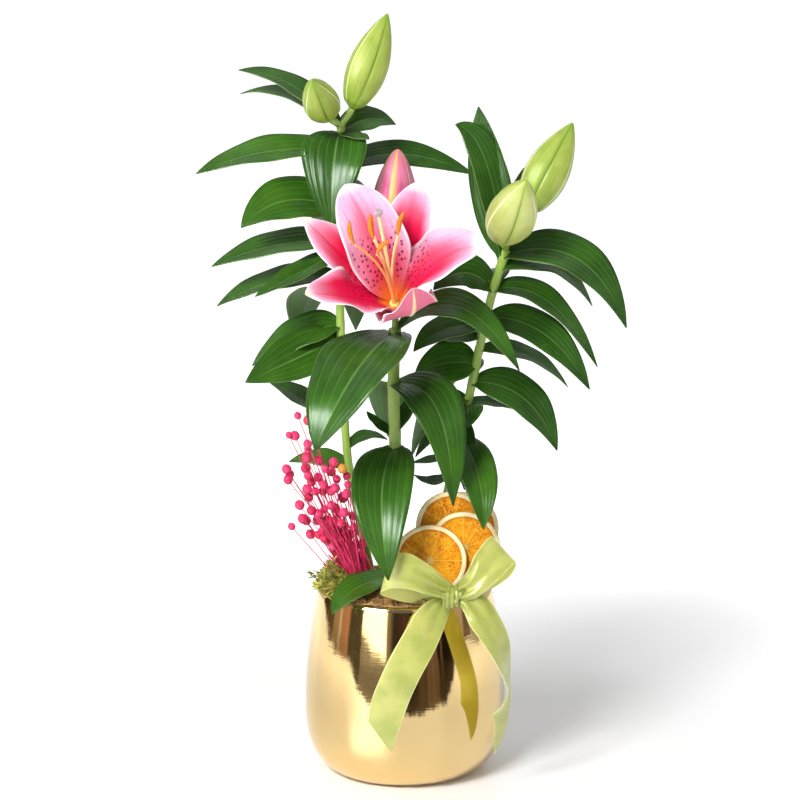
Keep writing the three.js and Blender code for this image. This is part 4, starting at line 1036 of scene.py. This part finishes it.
flax_parts = []
for number, (x, z, radius) in enumerate(FLAX_HEADS):
    end = np.array([x, -14 - 0.1 * (z - 116) + draw.uniform(-9, 9), z]) / 1000
    stalk_part, path = flax_stalk(end, 0.00042)
    head_part = seed_head(end, unit(path[-1] - path[-3]), radius * 1.12 / 1000)
    tint = draw.uniform(0.25, 1.0)
    flax_parts.append(valued(stalk_part, tint * 0.7, 0))
    flax_parts.append(valued(head_part, tint, number == ORANGE_HEAD))
for _ in range(STALK_COUNT):
    along = draw.uniform(0.030, 0.085)
    width = 0.0055 + 0.15 * along
    aside = np.array([draw.normal(0, 0.45) * width, draw.normal(0, 0.3) * width, 0])
    stalk_part, _ = flax_stalk(FLAX_FOOT + FLAX_LEAN * along + aside, draw.uniform(0.0005, 0.0009))
    flax_parts.append(valued(stalk_part, draw.uniform(0, 0.9), 0))

flax_material, tree, shader = new_material("dyed_flax")
tint_value = carried(tree, "tint")
orange_value = carried(tree, "orange")
mottled = noise(tree, 420.0, 4.0, 0.6)
pink = blend(tree, tint_value, (0.48, 0.004, 0.045), (0.68, 0.035, 0.14))
pink = blend(tree, smooth_step(tree, mottled, 0.5, 0.8), pink, (0.86, 0.2, 0.36), 0.5)
amber = blend(tree, mottled, (0.6, 0.2, 0.02), (0.85, 0.36, 0.06))
fill(tree, shader, {
    "Base Color": blend(tree, orange_value, pink, amber),
    "Roughness": 0.55,
    "Normal": bump(tree, mottled, 0.5, 0.0004),
})
points, faces, uvs, tints, oranges = gathered(flax_parts)
values = {"tint": tints, "orange": oranges}
flax = make_piece("flax_stalks", points, faces, [flax_material], uvs, values)
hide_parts("flax_bunch")
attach(flax, "root")

# The orange slices: four dried rounds stood on edge in the moss, one close behind the other. Each has
# a cream rind with a thin orange skin, and amber flesh in segments between raised pale membranes.
SLICE_FACE = unit(np.array([0.03, -0.95, 0.3]))
SLICE_RADIUS = 0.0255
SLICE_THICKNESS = 0.004
SLICE_GAP = 0.0003
SLICE_DEPTH = -0.045
SLICE_RIND = 0.0034
SLICE_SEGMENTS = 10
SLICE_SIDES = 120
# Each slice: how far right its middle is and how high
SLICE_PLACES = [(0.0175, 0.1635), (0.0415, 0.171), (0.033, 0.1835), (0.041, 0.182)]


def orange_slice(number, x, z):
    """A round with a flat back. Its front stands proud at the rind and along the membranes, and
    sinks between them by up to 0.8 mm; both faces warp together by an eighth of a millimetre."""
    behind = (SLICE_THICKNESS + SLICE_GAP) * number
    slope = SLICE_FACE[0] * (x - SLICE_PLACES[0][0]) + SLICE_FACE[2] * (z - SLICE_PLACES[0][1])
    centre = np.array([x, SLICE_DEPTH - (behind + slope) / SLICE_FACE[1], z])
    flat_angle = full_turn(SLICE_SIDES)
    angle = flat_angle + 0.35 * number
    half = SLICE_THICKNESS / 2
    fold = np.abs(np.mod(angle * SLICE_SEGMENTS / (2 * np.pi), 1) - 0.5) * 2
    radii = np.concatenate([[0.0022], np.linspace(0.0045, SLICE_RADIUS - SLICE_RIND - 0.0008, 12)])
    sunk = -0.0008 * np.clip((1 - fold) * 5, 0, 1)[None] * np.clip((radii - 0.002) / 0.006, 0, 1)[:, None]
    rows = [(r, half + s) for r, s in zip(radii, sunk)]
    rows += [(SLICE_RADIUS - SLICE_RIND, half), (SLICE_RADIUS - 0.002, half + 0.0001)]
    rows += [(SLICE_RADIUS - 0.0008 * (1 - np.cos(a)), half * np.sin(a)) for a in (1.1, 0.5, 0, -0.5, -1.1)]
    rows += [(SLICE_RADIUS - 0.003, -half), (0.004, -half)]
    rows = rows[::-1]
    ring = turned(angle, *across_axis(SLICE_FACE))
    points, uv = [], []
    for r, level in rows:
        share = r / SLICE_RADIUS
        wobble = r * (1 + 0.012 * np.cos(2 * angle + number) * share)
        warp = 0.00012 * np.cos(2 * angle) * share**2
        points.append(centre + ring * wobble[:, None] + SLICE_FACE * (level + warp)[:, None])
        uv.append(np.column_stack([np.cos(flat_angle), np.sin(flat_angle)]) * share)
    points = np.vstack([*points, centre - SLICE_FACE * half, centre + SLICE_FACE * half])
    return points, capped_faces(len(rows), SLICE_SIDES), np.vstack([*uv, [0, 0], [0, 0]])


slice_material, tree, shader = new_material("dried_orange")
right, up = uv_axes(tree)
reach = maths(tree, "SQRT", maths(tree, "ADD", times(tree, right, right), times(tree, up, up)))
angle = maths(tree, "ARCTAN2", up, right)
turns = times(tree, angle, SLICE_SEGMENTS / (2 * np.pi))
wavy = times(tree, noise(tree, 160.0), 0.1, turns)
fold = maths(tree, "PINGPONG", maths(tree, "ADD", wavy, -0.05), 0.5)
membrane = smooth_step(tree, times(tree, fold, reach), 0.026, 0.01)
polar = node(tree, "CombineXYZ", {0: times(tree, angle, 3.4), 1: times(tree, reach, 5.5)}).outputs[0]
cells = node(tree, "TexVoronoi", {"Vector": polar, "Scale": 2.2}, feature="DISTANCE_TO_EDGE")
walls = smooth_step(tree, cells.outputs["Distance"], 0.13, 0.03)
clouds = noise(tree, 130.0)
flesh = blend(tree, smooth_step(tree, clouds, 0.3, 0.7), (0.6, 0.15, 0.002), (0.86, 0.35, 0.004))
flesh = blend(tree, walls, flesh, (1.0, 0.55, 0.05), 0.62)
flesh = blend(tree, smooth_step(tree, reach, 0.76, 0.88), flesh, (0.6, 0.17, 0.003))
flesh = blend(tree, membrane, flesh, (1.0, 0.6, 0.12), 0.6)
flesh = blend(tree, smooth_step(tree, reach, 0.115, 0.085), flesh, (0.75, 0.55, 0.16))
rough_rim = times(tree, clouds, 0.03, reach)
pith = smooth_step(tree, rough_rim, 0.868, 0.892)
pale = blend(tree, clouds, (1.0, 0.78, 0.4), (1.0, 0.93, 0.62))
flesh = blend(tree, pith, flesh, pale)
skin = smooth_step(tree, reach, 0.972, 0.99)
relief = maths(tree, "MAXIMUM", times(tree, walls, 0.5), membrane)
fill(tree, shader, {
    "Base Color": blend(tree, skin, flesh, (0.72, 0.28, 0.04)),
    "Roughness": times(tree, pith, 0.35, 0.35),
    "Specular IOR Level": 0.14,
    "Normal": bump(tree, times(tree, clouds, 0.5, relief), 0.8, 0.0007),
    **translucent(0.12, (1.0, 0.5, 0.1), 0.001),
})
for number, (x, z) in enumerate(SLICE_PLACES):
    points, faces, uv = orange_slice(number, x, z)
    name = "orange_slice_" + str(number + 1)
    made = make_piece(name + "_dried", points, faces, [slice_material], uv)
    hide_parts(name)
    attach(made, "root")

# The bow: one bare satin ribbon, 25 mm wide with woven edges, tied in a single bow. Its two loops and
# two tails are gathered in a wrapped knot, which leans on the pot's rim and is wired to a pick.
RIBBON_HALF = 0.0125
RIBBON_THICKNESS = 0.0004
# Each station: middle point, direction across and half width, in millimetres
LEFT_LOOP = [
    ((31, -66, 147), (0.2, 0.1, 1), 6), ((24, -68, 151), (0.35, 0, 0.94), 7.5),
    ((14, -73, 158), (0.15, 0.05, 1), 10.5), ((2, -75, 164), (0.05, 0.1, 1), 12.3),
    ((-9, -72, 163), (0.2, 0.1, 0.97), 12.5), ((-14, -66, 158), (0.25, 0.2, 0.95), 12.5),
    ((-9, -60, 153), (0.1, 0, 1), 12.5), ((1, -58, 149), (0, 0, 1), 12.3),
    ((12, -58, 147), (0, 0.05, 1), 10.5), ((23, -61, 146), (0.1, 0.1, 1), 7.5),
    ((31, -62, 146), (0, 0, 1), 6),
]
RIGHT_LOOP = [
    ((36, -66, 146), (0, 0.1, 1), 6), ((46, -73, 154), (-0.3, 0.1, 0.95), 10),
    ((56, -72, 166), (-0.6, 0, 0.8), 12.3), ((68, -62, 176), (-0.65, 0.3, 0.65), 12.5),
    ((67, -55, 166), (-0.5, 0, 0.86), 12.3), ((53, -53, 153), (-0.3, 0, 0.95), 10),
    ((37, -58, 146), (0, 0, 1), 6),
]
RIGHT_TAIL = [
    ((36, -66, 146), (-0.5, -0.2, -0.85), 6), ((45, -70, 142), (0.55, 0.2, 0.8), 9),
    ((57, -72, 125), (0.8, 0.55, 0.2), 12), ((65, -70, 109), (0.63, 0.77, 0.05), 12.5),
    ((70, -66, 92), (0.3, 0.95, 0), 12.5), ((72.5, -62, 78), (0.12, 0.99, 0), 12.5),
    ((71, -60, 65), (0.28, 0.95, -0.1), 12.5), ((67, -60, 54), (0.4, 0.8, -0.45), 13),
    ((63, -61, 41), (0, 0.3, -0.95), 15.5),
]
# The left tail lies on the pot. Each station: how far right, height, half width, how far it stands off
# the pot, in millimetres, and the angle by which it dips to the right
LEFT_TAIL = [(27, 143, 6, 3, 5), (20, 133, 11, 5, 10), (10.5, 113, 12.5, 4, 22), (-1, 92, 12.5, 2.5, 26),
             (-9.5, 72, 12.5, 1.2, 26), (-18, 44, 13.7, 0.8, 53)]
KNOT_MIDDLE = np.array([0.033, -0.0625, 0.1423])
BAND_STEPS = 90
TAIL_STEPS = 60
KNOT_STEPS = 73
ACROSS = np.linspace(-1, 1, 25)[None, :, None]


def band(middles, sides, halves, folds, phase):
    """A band of ribbon as a closed blade. Where it is gathered, narrower than its full width, it is
    pleated: waves along it, higher the more it is gathered."""
    face = unit(np.cross(sides, np.gradient(middles, axis=0)))
    gather = np.sqrt(np.clip(1 - (halves / RIBBON_HALF) ** 2, 0, 1))[:, None, None]
    waves = np.cos(np.pi * folds * ACROSS + phase) * (1 - 0.3 * ACROSS**2)
    flat = middles[:, None] + sides[:, None] * ACROSS * halves[:, None, None]
    middle = flat + face[:, None] * 0.002 * gather * waves
    along = np.cumsum(np.linalg.norm(np.gradient(middles, axis=0), axis=1)) * 10
    uv = np.stack(np.broadcast_arrays(ACROSS[..., 0] * 0.5 + 0.5, along[:, None]), -1)
    return shell(middle, np.broadcast_to(face[:, None], middle.shape), RIBBON_THICKNESS, uv)


def tied(stations, folds, phase):
    """A band through stations, each of whose values follows a smooth curve."""
    t = np.linspace(0, 1, BAND_STEPS)
    middles = spline([np.array(p) / 1000 for p, _, _ in stations], t)
    sides = unit(spline([unit(np.array(s, float)) for _, s, _ in stations], t))
    halves = spline([(h / 1000, 0, 0) for _, _, h in stations], t)[:, 0]
    return band(middles, sides, halves, folds, phase)


# The left tail's grid: each point stands off the pot by its clearance, with ripples where it is gathered
t = np.linspace(0, 1, TAIL_STEPS)
smooth = spline([(a / 1000, b / 1000, c / 1000) for a, b, c, _, _ in LEFT_TAIL], t)
clearance = spline([(d / 1000, np.radians(e), i) for i, (_, _, _, d, e) in enumerate(LEFT_TAIL)], t)
t = t[:, None]
c = ACROSS[..., 0]
px = smooth[:, :1] + c * smooth[:, 2:] * np.cos(clearance[:, 1:2])
pz = smooth[:, 1:2] - c * smooth[:, 2:] * np.sin(clearance[:, 1:2])
gather = np.sqrt(np.clip(1 - (smooth[:, 2:] / RIBBON_HALF) ** 2, 0, 1))
ripple = 0.0011 * gather * np.cos(np.pi * 2.6 * c) + 0.0009 * c**2 * (1 - t)
ripple = ripple + 0.0011 * np.sin(2 * np.pi * (1.7 * t + 0.12 * c + 0.1)) * np.sin(np.pi * t)
reach = pot_radius(np.minimum(pz, POT_HEIGHT)) + clearance[:, :1] + ripple + RIBBON_THICKNESS / 2
left_tail = np.stack([px, -np.sqrt(np.maximum(reach**2 - px**2, 1e-6)), pz], -1)
outward = unit(left_tail * [1, 1, 0.1])
left_uv = np.stack(np.broadcast_arrays(c * 0.5 + 0.5, 1.15 * t), -1)
left_part = shell(left_tail[:, ::-1], outward[:, ::-1], RIBBON_THICKNESS, left_uv[:, ::-1])

# The knot's grid: a short oval tube of ribbon, pleated along the way it is wrapped
turn = np.linspace(0, 2 * np.pi, KNOT_STEPS)[:, None]
pleat = 0.0007 * np.cos(4.2 * np.pi * c) + 0.0004 * np.sin(2 * turn + 3 * c)
wide = 1.05 * (0.0044 + 0.0016 * (1 - c**2) + pleat)
tall = 0.0072 + 0.0006 * (1 - c**2) + pleat
swing = 0.0056 * c * (1 + 0.25 * np.cos(turn))
wrap = np.stack([swing, -wide * np.cos(turn), tall * np.sin(turn) + 0.0008 * c], -1)
knot_uv = np.stack(np.broadcast_arrays(c * 0.5 + 0.5, 0.4 * turn / (2 * np.pi)), -1)
points, faces, *rest = shell(KNOT_MIDDLE + wrap, unit(wrap * [0.15, 1, 1]), RIBBON_THICKNESS, knot_uv)
knot_part = (points, [f[::-1] for f in faces], *rest)

satin, tree, shader = new_material("satin")
crosswise, _ = uv_axes(tree)
away = maths(tree, "ABSOLUTE", times(tree, crosswise, 2.0, -1.0))
threads = noise(tree, 1.0, 2.0, stretch=(260, 9, 1), source="UV")
weft = noise(tree, 1.0, 1.0, stretch=(4, 900, 1), source="UV")
clouds = noise(tree, 55.0, 2.0)
# Painted sheen and shade: soft patches of darker and lighter green stand in for the satin's wavy
# reflections.
green = blend(tree, smooth_step(tree, clouds, 0.3, 0.7), (0.31, 0.355, 0.045), (0.5, 0.525, 0.12))
green = blend(tree, threads, green, (0.6, 0.61, 0.27), 0.35)
# Painted light: the back of each band is made much brighter and yellower, standing in for the light the
# gold pot and the floor throw onto it.
green = blend(tree, carried(tree, "back"), green, (0.72, 0.76, 0.22))
edge = smooth_step(tree, away, 0.93, 0.955)
green = blend(tree, edge, green, (0.78, 0.8, 0.42), 0.6)
# Painted shade: the green darkens toward the knot, where the gathered folds shade the ribbon.
painted_knot_shade_inputs = {0: place(tree), 1: tuple(KNOT_MIDDLE)}
spread = node(tree, "VectorMath", painted_knot_shade_inputs, operation="DISTANCE").outputs["Value"]
green = blend(tree, smooth_step(tree, spread, 0.036, 0.008), green, (0.22, 0.26, 0.035), 0.5)
weave = times(tree, weft, 0.4, times(tree, threads, 0.6, edge))
fill(tree, shader, {
    "Base Color": green,
    "Roughness": 0.28,
    "Specular IOR Level": 0.75,
    "Normal": bump(tree, weave, 0.5, 0.00015),
    **translucent(0.5, (1.0, 1.0, 0.3), 0.0015),
    "Sheen Weight": 0.35,
    "Sheen Roughness": 0.4,
    "Sheen Tint": (0.9, 1.0, 0.6, 1.0),
})
parts = [tied(LEFT_LOOP, 2.4, 0.4), tied(RIGHT_LOOP, 2.2, 1.2), tied(RIGHT_TAIL, 2.0, 0.2)]
# The painted brighter back goes on each shell's under side, but on its upper side for the right loop and
# the right tail.
parts[1:] = [(*part[:3], 1 - part[3]) for part in parts[1:]]
points, faces, uvs, back = gathered([*parts, left_part, knot_part])
bow = make_piece("satin_bow", points, faces, [satin], uvs, {"back": back})
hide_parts("ribbon_bow")
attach(bow, "root")

# The pick: a thin wire with a green paper wrap, bent over the rim behind the knot and pushed down
# into the moss, which holds the bow in its place.
PICK_POINTS = [(36, -56, 142), (37, -50.5, 140), (38, -41, 130), (38, -37, 116)]
PICK_RADIUS = 0.0008
PICK_STEPS = 40
pick_material, tree, shader = new_material("paper_wire")
wrap = node(tree, "TexWave", {"Vector": place(tree), "Scale": 160.0, "Distortion": 2.0, "Detail": 2.0},
            bands_direction="Z").outputs["Fac"]
wrapped = blend(tree, wrap, (0.1, 0.17, 0.05), (0.2, 0.28, 0.1))
fill(tree, shader, {"Base Color": wrapped, "Roughness": 0.6, "Normal": bump(tree, wrap, 0.6, 0.0003)})
pick_path = spline(np.array(PICK_POINTS) / 1000, np.linspace(0, 1, PICK_STEPS))
points, faces, uvs = tube(pick_path, PICK_RADIUS, 12)
pick = make_piece("pick_wire", points, faces, [pick_material], uvs)
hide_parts("bow_pick")
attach(pick, "root")

# The stage: a wide white floor under a white dome. The floor glows as painted light, faintly near the pot
# and more the farther off it lies. The pot mirrors the floor. Only mirrored is the dark room past the
# floor's front edge, with bands of brown and one bright window.
FLOOR_HALF = 6.0
DOME_RADIUS = 7.0
ROOM_RADIUS = 2.4
ROOM_HEIGHT = 0.9
ROOM_STEPS = 180
# How far the room's floor and wall stand above the floor, and how softly its bands meet
ROOM_LIFT = 0.001
BAND_BLUR = 0.004
ROOM_LEFT = -125
ROOM_RIGHT = 120
# The floor's edge toward the room: degrees right of the camera and metres from the pot's axis
ROOM_EDGE = [(-125, 1.3), (-105, 1.0), (-85, 0.95), (-66, 1.1), (-58, 0.65), (-50, 0.5), (-38, 0.4),
             (-20, 0.35), (15, 0.32), (45, 0.4), (55, 0.65), (65, 1.75), (72, 2.3), (95, 1.0), (120, 1.3)]
# Each band of the room: where it ends, in degrees right of the camera, and its colour
ROOM_BANDS = [
    (-112, (0.06, 0.035, 0.015)), (-98, (0.13, 0.085, 0.05)), (-88, (0.45, 0.33, 0.2)),
    (-84, (0.75, 0.68, 0.6)), (-71, (0.6, 0.3, 0.2)), (-53, (0.1, 0.09, 0.06)), (-22, (0.4, 0.37, 0.33)),
    (-17, (0.3, 0.26, 0.22)), (-7, (0.05, 0.04, 0.03)), (3, (0.08, 0.045, 0.04)),
    (14, (0.02, 0.014, 0.01)), (26, (0.1, 0.07, 0.045)), (38, (0.2, 0.13, 0.09)),
    (62, (0.012, 0.01, 0.008)), (76, (0.55, 0.45, 0.4)), (86, (0.2, 0.14, 0.1)), (120, (0.7, 0.68, 0.66)),
]
# The window: from where to where, in degrees right of the camera, and how bright it is
WINDOW = (-53, -22)
WINDOW_GLOW = (3.8, 3.7, 3.4)
CORNERS = [(-1, -1), (1, -1), (1, 1), (-1, 1)]


def glowing(colour):
    """Shader inputs that make a surface give light of a colour."""
    return {"Emission Color": colour, "Emission Strength": 1.0}


floor_material, tree, shader = new_material("floor")
# Painted light: the floor glows a little near the pot and more and more farther off, which lifts the far
# floor and the far part of the shadows to white.
away = node(tree, "VectorMath", {0: place(tree)}, operation="LENGTH").outputs["Value"]
painted_floor_glow = blend(tree, smooth_step(tree, away, 0.2, 0.75), (0.03, 0.03, 0.03), (0.64, 0.64, 0.64))
fill(tree, shader, {
    "Base Color": blend(tree, noise(tree, 3.0), (0.95, 0.95, 0.955), (0.97, 0.97, 0.97)),
    "Roughness": 0.3,
    **glowing(painted_floor_glow),
})
floor_points = [(x * FLOOR_HALF, y * FLOOR_HALF, 0) for x, y in CORNERS]
floor = make_piece("floor", floor_points, [(0, 1, 2, 3)], [floor_material])

dome_material, tree, shader = new_material("dome")
white = blend(tree, noise(tree, 0.5), (1.04, 1.04, 1.04), (1.08, 1.08, 1.08))
fill(tree, shader, {"Base Color": (0, 0, 0, 1.0), **glowing(white)})
rise = np.linspace(-0.3, np.pi / 2 - 0.02, 16)
profile = [(0, -2.5), *[(DOME_RADIUS * np.cos(a), DOME_RADIUS * np.sin(a)) for a in rise], (0, DOME_RADIUS)]
dome = make_piece("dome", *revolved(profile, 48), [dome_material])

room_material, tree, shader = new_material("dark_room")
crosswise, lengthwise = uv_axes(tree)
shaky = noise(tree, 1.0, 2.0, stretch=(30, 3, 1), source="UV")
across = times(tree, shaky, 0.012, maths(tree, "ADD", crosswise, -0.006))


def room_share(degrees):
    """How far along the room's wall a direction lies, from 0 to 1."""
    return (degrees - ROOM_LEFT) / (ROOM_RIGHT - ROOM_LEFT)


def past(share):
    """Rises from 0 to 1 as the wall passes a share of its length, softly by the blur each way."""
    return smooth_step(tree, across, share - BAND_BLUR, share + BAND_BLUR)


wall = ROOM_BANDS[0][1]
for (end, _), (_, colour) in zip(ROOM_BANDS, ROOM_BANDS[1:]):
    wall = blend(tree, past(room_share(end)), wall, colour)
streaks = noise(tree, 1.0, 2.0, stretch=(90, 0.6, 1), source="UV")
wall = blend(tree, smooth_step(tree, streaks, 0.55, 0.75), wall, (0.25, 0.18, 0.12), blend_type="SCREEN")
low = blend(tree, streaks, (0.02, 0.014, 0.008), (0.2, 0.14, 0.08))
fade = smooth_step(tree, lengthwise, 0.1, 0.3)
wall = blend(tree, times(tree, fade, 0.4, 0.6), low, wall)
first, last = (room_share(end) for end in WINDOW)
opening = times(tree, past(first), smooth_step(tree, across, last + BAND_BLUR, last - BAND_BLUR))
sill = times(tree, across, 1.23, times(tree, shaky, 0.08, lengthwise))
opening = times(tree, opening, smooth_step(tree, sill, 0.87, 0.95))
lit_wall = blend(tree, opening, wall, WINDOW_GLOW)
fill(tree, shader, {"Base Color": (0, 0, 0, 1.0), "Specular IOR Level": 0.0, **glowing(lit_wall)})
turn = np.linspace(ROOM_LEFT, ROOM_RIGHT, ROOM_STEPS)
near = np.interp(turn, *np.array(ROOM_EDGE).T)
near = near * (1 + 0.05 * np.sin(turn * 0.9) * np.sin(turn * 0.37))
ways = np.stack([np.sin(np.radians(turn)), -np.cos(np.radians(turn))], -1)
far = np.full(ROOM_STEPS, ROOM_RADIUS)
near = np.minimum(near, far - 0.01)
# The room's three rows: how far out, how high and the second UV coordinate
rows = [(near, ROOM_LIFT, 0.0), (far, ROOM_LIFT, 0.4), (far, ROOM_HEIGHT, 1.0)]
room_points = [np.column_stack([ways * r[:, None], np.full(ROOM_STEPS, z)]) for r, z, _ in rows]
room_uv = [np.column_stack([np.linspace(0, 1, ROOM_STEPS), np.full(ROOM_STEPS, v)]) for _, _, v in rows]
room = make_piece("dark_room", np.vstack(room_points), grid_faces(3, ROOM_STEPS), [room_material],
                  np.vstack(room_uv))

# The softbox: a large white card at the front left, brightest in its middle. Only mirrored, it gives
# the leaves, the pot and the ribbon their soft sheen.
SHEEN_SPOT = np.array([-1.41, -1.41, 1.15])
SHEEN_HALF = (0.85, 0.4)
SHEEN_GLOW = (40, 40, 41)
sheen_material, tree, shader = new_material("softbox")
inset = [maths(tree, "PINGPONG", axis, 0.5) for axis in uv_axes(tree)]
soft = times(tree, smooth_step(tree, inset[0], 0.0, 0.2), smooth_step(tree, inset[1], 0.0, 0.3))
fill(tree, shader, {"Base Color": (0, 0, 0, 1.0), **glowing(blend(tree, soft, (0, 0, 0), SHEEN_GLOW))})
right = unit(np.cross(SHEEN_SPOT, [0, 0, 1.0])) * SHEEN_HALF[0]
upward = unit(np.cross(right, SHEEN_SPOT)) * SHEEN_HALF[1]
sheen_points = [SHEEN_SPOT + x * right + y * upward for x, y in CORNERS]
sheen_uv = [((1 + x) / 2, (1 + y) / 2) for x, y in CORNERS]
sheen_card = make_piece("softbox", sheen_points, [(0, 1, 2, 3)], [sheen_material], sheen_uv)
for card in (room, sheen_card):
    card.visible_camera = False
dome.visible_glossy = False
for card in (room, dome, sheen_card):
    card.visible_shadow = False
    card.visible_diffuse = False

# The world: a soft grey light from all round, dim from the camera's side and brighter from behind the
# pot. It fills the shadows.
world = bpy.data.worlds.new("studio")
world.use_nodes = True
tree = world.node_tree
_, depth, _ = node(tree, "SeparateXYZ", {0: node(tree, "TexCoord").outputs["Generated"]}).outputs
glow = blend(tree, smooth_step(tree, depth, -0.5, 0.5), (0.2, 0.2, 0.21), (0.62, 0.62, 0.62))
fill(tree, tree.nodes["Background"], {0: glow})
bpy.context.scene.world = world

# The lamps: a large soft one at the front left that throws the shadow to the right, and two faint ones
# that soften it. The first is left out of mirrors, where the softbox stands for it.
# Each lamp: where it is, what it faces, its width and height in metres and its power in watts
LAMPS = {
    "key": ((-0.97, -1.75, 1.7), (0, 0, 0.2), 0.85, 0.8, 74),
    "fill": ((0.9, -1.7, 1.2), (0, 0, 0.25), 1.2, 1.0, 3),
    "top": ((-0.2, 0.3, 2.2), (0, 0, 0.3), 1.4, 1.4, 3),
}


def soft_light(name, spot, target, width, height, power):
    """A rectangular area light at a spot, tilted and turned to face a target."""
    light = bpy.data.lights.new(name, "AREA")
    light.shape = "RECTANGLE"
    light.size = width
    light.size_y = height
    light.energy = power
    lamp = bpy.data.objects.new(name, light)
    lamp.location = spot
    x, y, z = np.array(target) - np.array(spot)
    lamp.rotation_euler = (np.arctan2(np.hypot(x, y), -z), 0, np.arctan2(y, x) - np.pi / 2)
    bpy.context.scene.collection.objects.link(lamp)
    return lamp


lamps = {name: soft_light(name, *values) for name, values in LAMPS.items()}
lamps["key"].visible_glossy = False

# The camera: it stands straight before the pot with a long lens. Its height and distance follow the
# ellipse of the pot's rim, and it looks a little down.
CAMERA_SPOT = (-0.0035, -1.70, 0.59)
CAMERA_TILT = 10.68
CAMERA_LENS = 109.8
SENSOR_WIDTH = 36
camera_data = bpy.data.cameras.new("camera")
camera_data.sensor_width = SENSOR_WIDTH
camera_data.lens = CAMERA_LENS
camera = bpy.data.objects.new("camera", camera_data)
camera.location = CAMERA_SPOT
camera.rotation_euler = (np.radians(90 - CAMERA_TILT), 0, 0)
bpy.context.scene.collection.objects.link(camera)
bpy.context.scene.camera = camera
bpy.context.scene.view_settings.view_transform = "Standard"
